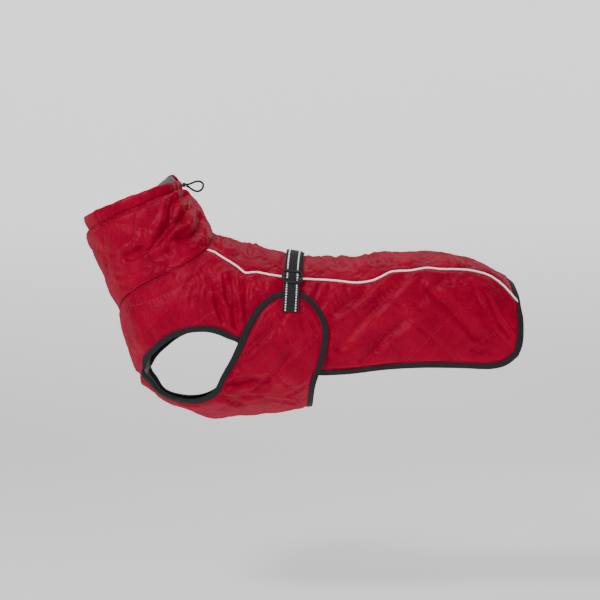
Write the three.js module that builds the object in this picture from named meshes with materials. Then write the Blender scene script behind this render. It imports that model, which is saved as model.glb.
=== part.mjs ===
import * as THREE from 'three';

// Quilted dog winter coat in the hollow form that it has when worn, in millimetres.
// X runs from the neck to the tail, Y to the right side of the coat and Z up.
// The origin is the inner face of the back over the withers.

// Cloth and trim sizes
const WALL = 2.5;
const THINNEST = 1.3;
const PUFF = 3;
const SKIN = 5;
const GAP = 0.3;
const QUILT_DIAGONAL = 70;
const BINDING_WIDTH = 9;
const TAPE = 0.8;
const FLANGE_SHARE = 0.93;
const PIPING_RADIUS = 1.5;
const WEBBING_WIDTH = 25;
const WEBBING = 1.2;
const STRAP_X = 80;
const STRAP_LEAN = 18;
const CORD_RADIUS = 1.5;
const WING_LIFT = 5.2;
const CASING_DEPTH = 2.6;
const CASING_GATHERS = 40;
const GATHER_DEPTH = 0.9;
const FAR_RIM_RISE = 18;
const LINING = 1;

// Rings of the form at its outer face: spine and throat points in the middle plane, the half width,
// the fullness of the lower half and how far the ring bows towards the tail at the shoulder.
const RINGS = [
  { spineX: 442, spineZ: -65, throatX: 450, throatZ: -297, half: 79, full: 2.6, bow: 0 },
  { spineX: 427, spineZ: -53, throatX: 435, throatZ: -285, half: 84, full: 2.6, bow: 0 },
  { spineX: 403, spineZ: -37, throatX: 411, throatZ: -273, half: 88, full: 2.6, bow: 0 },
  { spineX: 373, spineZ: -23, throatX: 378, throatZ: -261, half: 92, full: 2.6, bow: 0 },
  { spineX: 328, spineZ: -10, throatX: 330, throatZ: -248, half: 93, full: 2.6, bow: 0 },
  { spineX: 272, spineZ: -6, throatX: 272, throatZ: -241, half: 90, full: 2.6, bow: 0 },
  { spineX: 216, spineZ: -9, throatX: 214, throatZ: -241, half: 88, full: 2.5, bow: 0 },
  { spineX: 160, spineZ: -16, throatX: 157, throatZ: -248, half: 90, full: 2.4, bow: 0 },
  { spineX: 112, spineZ: -14, throatX: 106, throatZ: -256, half: 94, full: 2.3, bow: 0 },
  { spineX: 72, spineZ: -8, throatX: 61, throatZ: -263, half: 98, full: 2.2, bow: 0 },
  { spineX: 21, spineZ: 1, throatX: -8, throatZ: -270, half: 101, full: 2.2, bow: 0 },
  { spineX: 2, spineZ: 5, throatX: -51, throatZ: -273, half: 102, full: 2.2, bow: 0 },
  { spineX: -13, spineZ: 10, throatX: -96, throatZ: -259, half: 102, full: 2.2, bow: 0 },
  { spineX: -26, spineZ: 15, throatX: -136, throatZ: -240, half: 101, full: 2.2, bow: 2 },
  { spineX: -36, spineZ: 17.5, throatX: -163, throatZ: -213, half: 99, full: 2.2, bow: 6 },
  { spineX: -44, spineZ: 19.5, throatX: -179, throatZ: -181, half: 96, full: 2.2, bow: 10 },
  { spineX: -50, spineZ: 22, throatX: -189, throatZ: -144, half: 91, full: 2.2, bow: 15 },
  { spineX: -55, spineZ: 27, throatX: -196, throatZ: -110, half: 86, full: 2.1, bow: 18 },
  { spineX: -59, spineZ: 36, throatX: -205, throatZ: -92, half: 82, full: 2.1, bow: 18 },
  { spineX: -64, spineZ: 48, throatX: -214, throatZ: -73, half: 78, full: 2.1, bow: 15 },
  { spineX: -70, spineZ: 61, throatX: -222, throatZ: -54, half: 77, full: 2.1, bow: 12 },
  { spineX: -77, spineZ: 72, throatX: -232, throatZ: -30, half: 76, full: 2.1, bow: 8 },
  { spineX: -85, spineZ: 81, throatX: -243, throatZ: -9, half: 75, full: 2.1, bow: 4 },
  { spineX: -91, spineZ: 89, throatX: -253, throatZ: 11, half: 72, full: 2.1, bow: 2 },
  { spineX: -99, spineZ: 91, throatX: -251, throatZ: 26, half: 64, full: 2, bow: 0 },
  { spineX: -104, spineZ: 106, throatX: -258, throatZ: 47, half: 62, full: 2, bow: 0 },
];
const COLLAR_RING = 17;
const STITCH_RING = 24;
const RIM_RING = 25;
const TOP_FULL = 2.1;
const COLLAR_NAPE_LENGTH = 80;
const COLLAR_THROAT_LENGTH = 142;

// Seams and edges on the left side, by x and height, or by x and sideways place where they run flat.
const PIPING_LINE = [
  { x: -55, z: -6 }, { x: -46, z: -9 }, { x: -32, z: -18 }, { x: -11, z: -31 },
  { x: 4, z: -42 }, { x: 21, z: -41 }, { x: 43, z: -45 }, { x: 77, z: -50 }, { x: 110, z: -52 },
  { x: 144, z: -54 }, { x: 180, z: -57 }, { x: 200, z: -54 }, { x: 216, z: -47 }, { x: 231, z: -40 },
  { x: 260, z: -38 }, { x: 286, z: -34 }, { x: 312, z: -36 }, { x: 363, z: -39 }, { x: 381, z: -44 },
  { x: 397, z: -53 }, { x: 411, z: -66 }, { x: 423, z: -80 }, { x: 434, z: -96 },
];
const ARMHOLE_LINE = [
  { x: -157, z: -192 }, { x: -150, z: -178 }, { x: -134, z: -162 }, { x: -115, z: -147 },
  { x: -92, z: -137 }, { x: -66, z: -133 }, { x: -38, z: -137 }, { x: -9, z: -149 },
];
const UNDER_WING_LINE = [
  { x: -9, z: -149 }, { x: 20, z: -168 }, { x: 50, z: -184 }, { x: 85, z: -196 }, { x: 122, z: -202 },
];
const HEM_LINE = [
  { x: 122, z: -202 }, { x: 153, z: -201 }, { x: 184, z: -198 }, { x: 215, z: -194 }, { x: 277, z: -190 },
  { x: 330, z: -190 }, { x: 384, z: -191 }, { x: 400, z: -188 }, { x: 413, z: -182 }, { x: 422, z: -174 },
];
const REAR_LINE = [
  { x: 434, z: -96 }, { x: 436, z: -110 }, { x: 436, z: -128 }, { x: 434, z: -148 }, { x: 429, z: -164 },
  { x: 422, z: -174 },
];
const REAR_TOP_LINE = [
  { x: 427, y: 0 }, { x: 428, y: -20 }, { x: 430, y: -38 }, { x: 433, y: -52 }, { x: 434, z: -96 },
];
const STEM_LINE = [
  { x: -157, z: -192 }, { x: -153.5, z: -199 }, { x: -148.5, z: -211 }, { x: -139, y: -39 },
  { x: -124, y: -41 }, { x: -100, y: -48 }, { x: -72, y: -63 }, { x: -44, z: -227 },
];
const WING_FRONT_LINE = [
  { x: -44, z: -227 }, { x: -32, z: -202 }, { x: -18, z: -177 }, { x: -6, z: -150 }, { x: 2, z: -130 },
  { x: 10, z: -116 }, { x: 21, z: -99 }, { x: 33, z: -86.5 }, { x: 48, z: -76.5 },
];
const WING_TOP_LINE = [{ x: 48, z: -76.5 }, { x: 63, z: -72.5 }, { x: 79, z: -72 }, { x: 94, z: -76.5 }];
const WING_REAR_LINE = [
  { x: 94, z: -76.5 }, { x: 108, z: -86 }, { x: 119, z: -100 }, { x: 126, z: -113 }, { x: 130, z: -128 },
  { x: 130, z: -146 }, { x: 127, z: -165 }, { x: 123, z: -184 }, { x: 116, z: -200 }, { x: 111, z: -217 },
  { x: 109, z: -237 }, { x: 107, y: 0 },
];

// How many columns of points each stretch of the side panel takes, where its last column meets the piping
// and how much closer its first columns stand there.
const SIDE_STRETCHES = [
  { edge: 'front', columns: 5, pipingX: -55.5, closer: 1 },
  { edge: 'chest', columns: 5, pipingX: -52, closer: 1 },
  { edge: 'armhole', columns: 12, pipingX: 45, closer: 1.5 },
  { edge: 'underWing', columns: 7, pipingX: 140, closer: 1 },
  { edge: 'hem', columns: 15, pipingX: 434, closer: 1 },
];
const SIDE_ROWS = 11;
const BACK_CELLS = 8;
const COLLAR_ROWS = 8;
const STEM_COLUMNS = 8;
const STEM_ROWS = 6;
const WING_COLUMNS = 14;
const BELLY_ROWS = 8;
const PIPING_STEPS = 44;
const PIPING_START = 6;
const PIPING_END = 17;

// Creases that the outer face sinks into: where they run, half width and depth.
const COAT_CREASES = [
  {
    path: [
      { x: -111, z: 74 }, { x: -114, z: 47 }, { x: -123, z: 24 }, { x: -141, z: -5 }, { x: -177, z: -16 },
    ],
    width: 7,
    depth: 3.5,
  },
  { path: [{ x: -98, z: 45 }, { x: -118, z: 24 }], width: 8, depth: 3.5 },
  { path: [{ x: -91, z: 55 }, { x: -98, z: 35 }], width: 6, depth: 2.5 },
  { path: [{ x: -70, z: 45 }, { x: -79, z: 16 }, { x: -96, z: 13 }], width: 8, depth: 3.5 },
  { path: [{ x: -93, z: 82 }, { x: -106, z: 71 }], width: 6, depth: 3 },
  { path: [{ x: -128, z: 15 }, { x: -178, z: -19 }], width: 8, depth: 2.5 },
  { path: [{ x: -116, z: -9 }, { x: -139, z: -17 }], width: 7, depth: 2 },
  { path: [{ x: -38, z: -85 }, { x: -30, z: -117 }], width: 6, depth: 2.5 },
  { path: [{ x: -14, z: -90 }, { x: -9, z: -126 }], width: 6, depth: 2.5 },
  { path: [{ x: 6, z: -60 }, { x: 6, z: -112 }], width: 6, depth: 2.5 },
  { path: [{ x: -20, z: -50 }, { x: -23, z: -85 }], width: 6, depth: 2 },
  { path: [{ x: 249, z: -51 }, { x: 233, z: -66 }, { x: 151, z: -156 }], width: 9, depth: 3.5 },
  { path: [{ x: 253, z: -112 }, { x: 221, z: -143 }, { x: 190, z: -177 }], width: 9, depth: 3.5 },
  { path: [{ x: 190, z: -68 }, { x: 162, z: -88 }, { x: 140, z: -105 }], width: 8, depth: 3 },
  { path: [{ x: 293, z: -72 }, { x: 329, z: -106 }, { x: 363, z: -143 }], width: 8, depth: 2 },
  { path: [{ x: 8, y: -5 }, { x: 10, y: -50 }], width: 5, depth: 2.5 },
  { path: [{ x: -20, y: -8 }, { x: -24, y: -46 }], width: 5, depth: 2 },
  { path: [{ x: 142, y: -4 }, { x: 150, y: -48 }], width: 7, depth: 2.5 },
  { path: [{ x: 196, y: -6 }, { x: 206, y: -46 }], width: 6, depth: 2 },
];
const BELLY_CREASES = [
  { path: [{ x: 49, z: -126 }, { x: -9, z: -186 }], width: 8, depth: 3 },
  { path: [{ x: 75, z: -165 }, { x: 51, z: -193 }, { x: 25, z: -219 }], width: 8, depth: 3 },
  { path: [{ x: -25, z: -217 }, { x: 22, z: -207 }], width: 7, depth: 3 },
  { path: [{ x: -34, z: -233 }, { x: -6, z: -245 }], width: 7, depth: 2.5 },
];
const FAR_SIDE_SHIFT = 7;
const FAR_SIDE_DEPTH = 0.85;

// Stitch line phases of the quilting, as shares of a diamond
const COAT_QUILT = { rising: 0.77, falling: 0.58 };
const BELLY_QUILT = { rising: 0.16, falling: 0.31 };
const COLLAR_QUILT = { rising: 0.1, falling: 0.1 };

// Height of the webbing's inner face along its way over the back, by share of the half girth
const STRAP_ROUTE = [
  { share: -0.408, lift: 8.9 }, { share: -0.36, lift: 8.8 }, { share: -0.34, lift: 9.5 },
  { share: -0.303, lift: 9.5 }, { share: -0.28, lift: 7.4 }, { share: -0.2, lift: 6.8 },
  { share: -0.1, lift: 7.6 }, { share: 0, lift: 8.3 }, { share: 0.1, lift: 7.6 },
  { share: 0.18, lift: 7.1 }, { share: 0.227, lift: 7.1 }, { share: 0.242, lift: 11 },
  { share: 0.2555, lift: 11 }, { share: 0.27, lift: 7.1 }, { share: 0.288, lift: 7.1 },
  { share: 0.303, lift: 9.5 }, { share: 0.34, lift: 9.5 }, { share: 0.36, lift: 8.8 },
  { share: 0.408, lift: 8.9 },
];
const RETURN_ROUTE = [
  { share: -0.08, lift: 5.2 }, { share: -0.03, lift: 6.6 }, { share: 0, lift: 6.8 },
  { share: 0.04, lift: 6.3 }, { share: 0.1, lift: 5.6 }, { share: 0.239, lift: 5.4 },
];
const RETURN_OFFSET = 3;
const STRAP_STEP = 0.028;

// Three-bar slider
const SLIDER_SHARE = 0.249;
const SLIDER_LIFT = 8.5;
const SLIDER = {
  width: 33, height: 24, thick: 2, slotWidth: 26.6, slotHeight: 6.7, bar: 3.5, cornerCut: 4,
};

// Bead and elastic cord loop at the nape
const BEAD = { radius: 3.6, length: 5, lift: 9.6, ring: 24.55 };
const LOOP_ROUTE = [
  { x: 0.1, y: -1.8, z: 0.4 }, { x: 4, y: -2, z: 0.6 }, { x: 9, y: -2, z: 2.2 }, { x: 14, y: -1.8, z: 4.4 },
  { x: 19, y: -1, z: 5.6 }, { x: 24, y: -0.4, z: 4.8 }, { x: 27.4, y: 0, z: 1.6 }, { x: 27.6, y: 0.4, z: -3 },
  { x: 25, y: 0.8, z: -7.6 }, { x: 20, y: 1.2, z: -10.2 }, { x: 14.5, y: 1.6, z: -9.6 },
  { x: 9, y: 1.9, z: -6.6 },
  { x: 4, y: 2, z: -3 }, { x: 0.5, y: 1.8, z: -1.6 },
];

// Rings and heights of the collar's fleece facing
const LINING_LEVELS = [
  { ring: 20.5, lift: -0.5 }, { ring: 21.375, lift: -0.5 }, { ring: 22.25, lift: -0.5 },
  { ring: 23.125, lift: -0.6 }, { ring: 24, lift: -0.6 }, { ring: 24.9, lift: -1 },
];

const ANGLE_STEPS = 64;
const SMALL = 0.02;

function mix(a, b, share) {
  return a + (b - a) * share;
}

function smooth(value) {
  const share = THREE.MathUtils.clamp(value, 0, 1);
  return share * share * (3 - 2 * share);
}

function spline(a, b, c, d, t) {
  const square = t * t;
  const cube = square * t;
  return 0.5 * (2 * b + (c - a) * t + (2 * a - 5 * b + 4 * c - d) * square + (3 * b - a - 3 * c + d) * cube);
}

// Ring between two rows of the table, carried on in a straight line past its ends
function ringAt(station) {
  const last = RINGS.length - 1;
  const low = THREE.MathUtils.clamp(Math.floor(station), 0, last - 1);
  const share = station - low;
  const ring = {};
  for (const name of Object.keys(RINGS[0])) {
    const b = RINGS[low][name];
    const c = RINGS[low + 1][name];
    const a = low > 0 ? RINGS[low - 1][name] : 2 * b - c;
    const d = low + 2 <= last ? RINGS[low + 2][name] : 2 * c - b;
    const inside = share >= 0 && share <= 1;
    ring[name] = inside ? spline(a, b, c, d, share) : mix(b, c, share);
  }
  return ring;
}

// Point of a ring at an angle from its spine, on the left side
function ringPoint(ring, angle) {
  const along = new THREE.Vector2(ring.throatX - ring.spineX, ring.throatZ - ring.spineZ);
  const length = along.length();
  along.divideScalar(length);
  const upper = angle <= Math.PI / 2;
  const power = 2 / (upper ? TOP_FULL : ring.full);
  const rise = Math.pow(Math.abs(Math.cos(angle)), power) / 2;
  const down = length * (upper ? 0.5 - rise : 0.5 + rise);
  const sideways = ring.half * Math.pow(Math.abs(Math.sin(angle)), power);
  const bow = ring.bow * (Math.sin(2 * angle) + 0.3 * Math.sin(angle));
  return new THREE.Vector3(
    ring.spineX + along.x * down - along.y * bow,
    -sideways,
    ring.spineZ + along.y * down + along.x * bow,
  );
}

// Point of the outer form where share runs 0 at the spine to 1 at the belly line on the left side,
// and on to 2, or back to -1, over the right side. Also gives the girth measured from the spine.
function formPoint(station, share) {
  let turned = share;
  if (share > 1) turned = share - 2;
  if (share < -1) turned = share + 2;
  const side = turned < 0 ? -1 : 1;
  const ring = ringAt(station);
  const lengths = [0];
  let before = ringPoint(ring, 0);
  for (let step = 1; step <= ANGLE_STEPS; step++) {
    const point = ringPoint(ring, (step * Math.PI) / ANGLE_STEPS);
    lengths.push(lengths[step - 1] + point.distanceTo(before));
    before = point;
  }
  const girth = Math.abs(turned) * lengths[ANGLE_STEPS];
  let step = 0;
  while (step < ANGLE_STEPS - 1 && lengths[step + 1] < girth) step++;
  const part = (girth - lengths[step]) / (lengths[step + 1] - lengths[step]);
  const point = ringPoint(ring, ((step + part) * Math.PI) / ANGLE_STEPS);
  point.y *= side;
  return { point, girth: girth * side };
}

function basePoint(place) {
  return formPoint(place.station, place.share).point;
}

function formNormal(station, share) {
  const along = formPoint(station + SMALL, share).point.sub(formPoint(station - SMALL, share).point);
  const around = formPoint(station, share + SMALL / 2).point.sub(formPoint(station, share - SMALL / 2).point);
  return along.cross(around).normalize();
}

// Point at a height over the inner face of the coat
function lifted(place, lift) {
  const { point } = formPoint(place.station, place.share);
  return point.addScaledVector(formNormal(place.station, place.share), lift - SKIN);
}

// Place on the left side of the form whose outer face has the x and the y or z of a table row
function findPlace(row, start) {
  const level = row.z === undefined ? 'y' : 'z';
  if (level === 'y' && row.y === 0) return findMiddle(row.x, start.share > 0.5);
  const place = { ...start };
  const miss = (station, share) => {
    const { point } = formPoint(station, share);
    return [point.x - row.x, point[level] - row[level]];
  };
  for (let turn = 0; turn < 60; turn++) {
    const [missX, missLevel] = miss(place.station, place.share);
    if (Math.hypot(missX, missLevel) < 1e-6) break;
    const [alongX, alongLevel] = miss(place.station + 1e-4, place.share);
    const [aroundX, aroundLevel] = miss(place.station, place.share + 1e-5);
    const a = (alongX - missX) / 1e-4;
    const b = (aroundX - missX) / 1e-5;
    const c = (alongLevel - missLevel) / 1e-4;
    const d = (aroundLevel - missLevel) / 1e-5;
    const area = a * d - b * c;
    const stationStep = -(d * missX - b * missLevel) / area;
    const shareStep = -(a * missLevel - c * missX) / area;
    const damp = Math.max(1, Math.abs(stationStep) / 0.6, Math.abs(shareStep) / 0.08);
    place.station += stationStep / damp;
    place.share = THREE.MathUtils.clamp(place.share + shareStep / damp, 0.002, 0.998);
  }
  return place;
}

// Place on the spine or on the belly line with a given x
function findMiddle(x, onBelly) {
  const share = onBelly ? 1 : 0;
  let low = -2;
  let high = RIM_RING;
  for (let turn = 0; turn < 60; turn++) {
    const middle = (low + high) / 2;
    if (formPoint(middle, share).point.x > x) low = middle;
    else high = middle;
  }
  return { station: low, share };
}

function findLine(rows, start) {
  const places = [];
  let guess = start;
  for (const row of rows) {
    guess = findPlace(row, guess);
    places.push(guess);
  }
  return places;
}

// Smooth line of places, read by a share of its length
class Line {
  constructor(places) {
    this.curve = new THREE.CatmullRomCurve3(
      places.map((place) => new THREE.Vector3(place.station, place.share * 8, 0)), false, 'centripetal');
    this.marks = [0];
    this.steps = 12 * (places.length - 1);
    let before = this.raw(0);
    for (let step = 1; step <= this.steps; step++) {
      const here = this.raw(step / this.steps);
      this.marks.push(this.marks[step - 1] + here.distanceTo(before));
      before = here;
    }
    this.length = this.marks[this.steps];
  }

  place(t) {
    const point = this.curve.getPoint(t);
    return { station: point.x, share: point.y / 8 };
  }

  raw(t) {
    const place = this.place(t);
    return formPoint(place.station, place.share).point;
  }

  at(share) {
    const goal = THREE.MathUtils.clamp(share, 0, 1) * this.length;
    let step = 0;
    while (step < this.steps - 1 && this.marks[step + 1] < goal) step++;
    const part = (goal - this.marks[step]) / (this.marks[step + 1] - this.marks[step]);
    return this.place((step + part) / this.steps);
  }

  // Share of the length at which the line has a given x
  shareAtX(x) {
    let low = 0;
    let high = 1;
    for (let turn = 0; turn < 40; turn++) {
      const middle = (low + high) / 2;
      const here = this.at(middle);
      if (formPoint(here.station, here.share).point.x < x) low = middle;
      else high = middle;
    }
    return low;
  }

  samples(count) {
    return Array.from({ length: count + 1 }, (_, index) => this.at(index / count));
  }
}

function mirrored(place) {
  return { station: place.station, share: -place.share };
}

function mirroredUnder(place) {
  return { station: place.station, share: 2 - place.share };
}

// Moves a place by millimetres along the surface, given as a vector
function shifted(place, move) {
  const here = formPoint(place.station, place.share).point;
  const along = formPoint(place.station + SMALL, place.share).point.sub(here).divideScalar(SMALL);
  const around = formPoint(place.station, place.share + SMALL / 10).point.sub(here).divideScalar(SMALL / 10);
  const a = along.dot(along);
  const b = along.dot(around);
  const c = around.dot(around);
  const p = along.dot(move);
  const q = around.dot(move);
  const area = a * c - b * b;
  return {
    station: place.station + (c * p - b * q) / area,
    share: place.share + (a * q - b * p) / area,
  };
}

// Distance from a point to a chain of points
function chainDistance(point, chain) {
  let best = Infinity;
  const line = new THREE.Line3();
  const near = new THREE.Vector3();
  for (let index = 0; index < chain.length - 1; index++) {
    line.set(chain[index], chain[index + 1]);
    line.closestPointToPoint(point, true, near);
    best = Math.min(best, near.distanceTo(point));
  }
  return best;
}

function creaseChains(table) {
  return table.map((crease) => {
    const first = crease.path[0];
    const collarSide = first.x < -60 && (first.z ?? 0) > -30;
    const start = { station: collarSide ? 20 : 10 - first.x / 60, share: first.z === undefined ? 0.1 : 0.4 };
    const chain = findLine(crease.path, start).map((place) => formPoint(place.station, place.share).point);
    return { chain, width: crease.width, depth: crease.depth };
  });
}

// Depth of the creases at a point of the form, the far side's a little further back and shallower
function creaseDepth(point, creases) {
  const far = new THREE.Vector3(point.x - FAR_SIDE_SHIFT, -point.y, point.z);
  let depth = 0;
  for (const crease of creases) {
    const near = chainDistance(point, crease.chain) / crease.width;
    const away = chainDistance(far, crease.chain) / crease.width;
    depth += crease.depth * (Math.exp(-near * near) + FAR_SIDE_DEPTH * Math.exp(-away * away));
  }
  return depth;
}

function quiltPuff(along, around, phases) {
  const rising = Math.abs(Math.sin(Math.PI * ((along + around) / QUILT_DIAGONAL - phases.rising)));
  const falling = Math.abs(Math.sin(Math.PI * ((along - around) / QUILT_DIAGONAL - phases.falling)));
  return PUFF * Math.pow(rising * falling, 0.55);
}

// The lines of the left side
const collarStart = { station: COLLAR_RING - 1, share: 0.2 };
const piping = new Line([
  { station: COLLAR_RING, share: 0.236 },
  ...findLine(PIPING_LINE, collarStart),
]);
const armholePlaces = findLine(ARMHOLE_LINE, { station: 14, share: 0.8 });
const armhole = new Line(armholePlaces);
const underWing = new Line(findLine(UNDER_WING_LINE, { station: 10, share: 0.55 }));
const hem = new Line(findLine(HEM_LINE, { station: 7.7, share: 0.7 }));
const rear = new Line(findLine(REAR_LINE, { station: 0.8, share: 0.26 }));
const rearTop = new Line(findLine(REAR_TOP_LINE, { station: 1, share: 0.05 }));
const stem = new Line(findLine(STEM_LINE, { station: 14, share: 0.83 }));
const wingFront = new Line(findLine(WING_FRONT_LINE, { station: 11, share: 0.75 }));
const wingTop = new Line(findLine(WING_TOP_LINE, { station: 9.3, share: 0.33 }));
const wingRear = new Line(findLine(WING_REAR_LINE, { station: 8.3, share: 0.34 }));
const chestRing = armholePlaces[0].station;
const chestShare = armholePlaces[0].share;
const chestInset = chestShare + BINDING_WIDTH / formPoint(chestRing, 1).girth;
const throatEnd = chestRing + BINDING_WIDTH / stationLength(chestRing, 1);
const coatCreases = creaseChains(COAT_CREASES);
const bellyCreases = creaseChains(BELLY_CREASES);

// Height of the side panel's lower edge at an x, and how far the belly panel stands off to clear it
const lowerEdgeMarks = [...ARMHOLE_LINE, ...UNDER_WING_LINE.slice(1), ...HEM_LINE.slice(1, 7)];
function lowerEdgeHeight(x) {
  let index = 0;
  while (index < lowerEdgeMarks.length - 2 && lowerEdgeMarks[index + 1].x < x) index++;
  const from = lowerEdgeMarks[index];
  const to = lowerEdgeMarks[index + 1];
  return mix(from.z, to.z, THREE.MathUtils.clamp((x - from.x) / (to.x - from.x), 0, 1));
}

function bellyLift(place) {
  const { point } = formPoint(place.station, place.share);
  return WING_LIFT * (1 - smooth((lowerEdgeHeight(point.x) - point.z - 8) / 36));
}

function coatLift() {
  return 0;
}

// Where the quilting is pressed flat: under a wing and under the webbing
const wingPlaces = [...wingFront.samples(16), ...wingTop.samples(6), ...wingRear.samples(16)];
const wingOutline = wingPlaces.map((place) => {
  const { point } = formPoint(place.station, place.share);
  return new THREE.Vector2(point.x, point.z);
});

function insideWing(point) {
  let inside = false;
  for (let i = 0, j = wingOutline.length - 1; i < wingOutline.length; j = i++) {
    const a = wingOutline[i];
    const b = wingOutline[j];
    const crosses = (a.y > point.z) !== (b.y > point.z);
    if (crosses && point.x < ((b.x - a.x) * (point.z - a.y)) / (b.y - a.y) + a.x) inside = !inside;
  }
  return inside;
}

function wingShare(point) {
  let nearest = Infinity;
  for (const mark of wingOutline) nearest = Math.min(nearest, Math.hypot(mark.x - point.x, mark.y - point.z));
  if (insideWing(point)) return 1;
  return 1 - smooth((nearest - 5) / 9);
}

function strapX(share) {
  return STRAP_X - STRAP_LEAN * Math.abs(share);
}

function webbingShare(point, girth) {
  const share = Math.abs(girth) / 370;
  const away = Math.abs(point.x - strapX(share));
  const wide = share > 0.2 && share < 0.3 ? 19 : 15;
  return share < 0.43 ? 1 - smooth((away - wide) / 7) : 0;
}

function coatPuff(place, options) {
  const { point, girth } = formPoint(place.station, place.share);
  let puff = quiltPuff(point.x, girth, COAT_QUILT);
  puff *= 1 - 0.8 * wingShare(point);
  puff *= 1 - 0.85 * webbingShare(point, girth);
  return puff * options.rise - creaseDepth(point, coatCreases) * options.crease;
}

function bellyPuff(place, options) {
  const { point, girth } = formPoint(place.station, place.share);
  let puff = quiltPuff(point.x, Math.abs(girth), BELLY_QUILT);
  puff *= 1 - 0.85 * webbingShare(point, girth);
  return puff * options.rise - creaseDepth(point, bellyCreases) * options.crease;
}

function collarPuff(place, options) {
  const { point, girth } = formPoint(place.station, place.share);
  const length = mix(COLLAR_NAPE_LENGTH, COLLAR_THROAT_LENGTH, Math.abs(place.share));
  const along = ((place.station - COLLAR_RING) / (STITCH_RING - COLLAR_RING)) * length;
  const puff = quiltPuff(along, girth, COLLAR_QUILT);
  return puff * options.rise - creaseDepth(point, coatCreases) * options.crease;
}

// Patch of places between four edges, each a function of a share from 0 to 1
function coonsPatch(columns, rows, edges) {
  const { top, bottom, front, back } = edges;
  const corners = { a: front(0), b: front(1), c: back(0), d: back(1) };
  const blend = (u, v, key) => {
    const ruled = mix(top(u)[key], bottom(u)[key], v) + mix(front(v)[key], back(v)[key], u);
    const flat = mix(mix(corners.a[key], corners.c[key], u), mix(corners.b[key], corners.d[key], u), v);
    return ruled - flat;
  };
  const place = (u, v) => ({ station: blend(u, v, 'station'), share: blend(u, v, 'share') });
  return { columns, rows, place };
}

// Closed wall over patches and over the strips of a binding's width along their bound edges,
// with the same places on its outer and inner face
function wallGeometry(patches, strips, lift, puff) {
  const places = [];
  const names = new Map();
  const cells = [];
  const indexOf = (place) => {
    const point = basePoint(place);
    const key = point.toArray().map((value) => value.toFixed(3)).join();
    if (!names.has(key)) {
      names.set(key, places.length);
      places.push({ ...place, base: point });
    }
    return names.get(key);
  };
  for (const patch of patches) {
    const grid = [];
    for (let i = 0; i <= patch.columns; i++) {
      grid.push([]);
      for (let j = 0; j <= patch.rows; j++) {
        grid[i].push(indexOf(patch.place(i / patch.columns, j / patch.rows)));
      }
    }
    addQuads(cells, grid, places);
  }
  for (const strip of strips) addQuads(cells, [strip.edge.map(indexOf), strip.inner.map(indexOf)], places);
  const following = boundaryChain(cells);
  const edgeChains = chainsOf(following).map((chain) => chain.map((index) => places[index].base));
  const boundChains = strips.map((strip) => strip.edge.map(basePoint));
  const outer = places.map((place) => {
    const edge = Math.min(...edgeChains.map((chain) => chainDistance(place.base, chain)));
    const bound = Math.min(...boundChains.map((chain) => chainDistance(place.base, chain)));
    const flat = smooth((bound - BINDING_WIDTH - 0.6) / 9);
    const options = { rise: smooth(edge / 9) * flat, crease: smooth(edge / 12) * flat };
    return lifted(place, lift(place) + Math.max(THINNEST, WALL + puff(place, options)));
  });
  const inner = places.map((place) => lifted(place, lift(place)));
  const count = places.length;
  const triangles = [...cells];
  for (const [a, b, c] of cells) triangles.push([a + count, c + count, b + count]);
  for (const [start, end] of following) {
    triangles.push([end, start, start + count], [end, start + count, end + count]);
  }
  return solidGeometry([...outer, ...inner], triangles);
}

// Two triangles for each cell of a grid, faced along the form's normal
function addQuads(list, grid, places) {
  const column = Math.floor((grid.length - 1) / 2);
  const row = Math.floor((grid[0].length - 1) / 2);
  const a = places[grid[column][row]];
  const ab = places[grid[column + 1][row]].base.clone().sub(a.base);
  const ac = places[grid[column][row + 1]].base.clone().sub(a.base);
  const flipped = ab.cross(ac).dot(formNormal(a.station, a.share)) < 0;
  for (let i = 0; i + 1 < grid.length; i++) {
    for (let j = 0; j + 1 < grid[0].length; j++) {
      const [p, q, r, s] = [grid[i][j], grid[i + 1][j], grid[i + 1][j + 1], grid[i][j + 1]];
      if (flipped) list.push([r, q, p], [s, r, p]);
      else list.push([p, q, r], [p, r, s]);
    }
  }
}

// For each edge point of an open surface, the next one along the edge
function boundaryChain(triangles) {
  const used = new Set();
  for (const [a, b, c] of triangles) {
    used.add(`${a},${b}`);
    used.add(`${b},${c}`);
    used.add(`${c},${a}`);
  }
  const following = new Map();
  for (const edge of used) {
    const [from, to] = edge.split(',').map(Number);
    if (!used.has(`${to},${from}`)) following.set(from, to);
  }
  return following;
}

function chainsOf(following) {
  const seen = new Set();
  const chains = [];
  for (const start of following.keys()) {
    if (seen.has(start)) continue;
    const chain = [start];
    let here = following.get(start);
    while (here !== start) {
      seen.add(here);
      chain.push(here);
      here = following.get(here);
    }
    seen.add(start);
    chain.push(start);
    chains.push(chain);
  }
  return chains;
}

function solidGeometry(points, triangles) {
  let volume = 0;
  for (const [a, b, c] of triangles) volume += points[a].dot(points[b].clone().cross(points[c]));
  const index = triangles.flatMap(([a, b, c]) => (volume > 0 ? [a, b, c] : [a, c, b]));
  const geometry = new THREE.BufferGeometry();
  const values = points.flatMap((point) => point.toArray());
  geometry.setAttribute('position', new THREE.Float32BufferAttribute(values, 3));
  geometry.setIndex(index);
  geometry.computeVertexNormals();
  return geometry;
}

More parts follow.
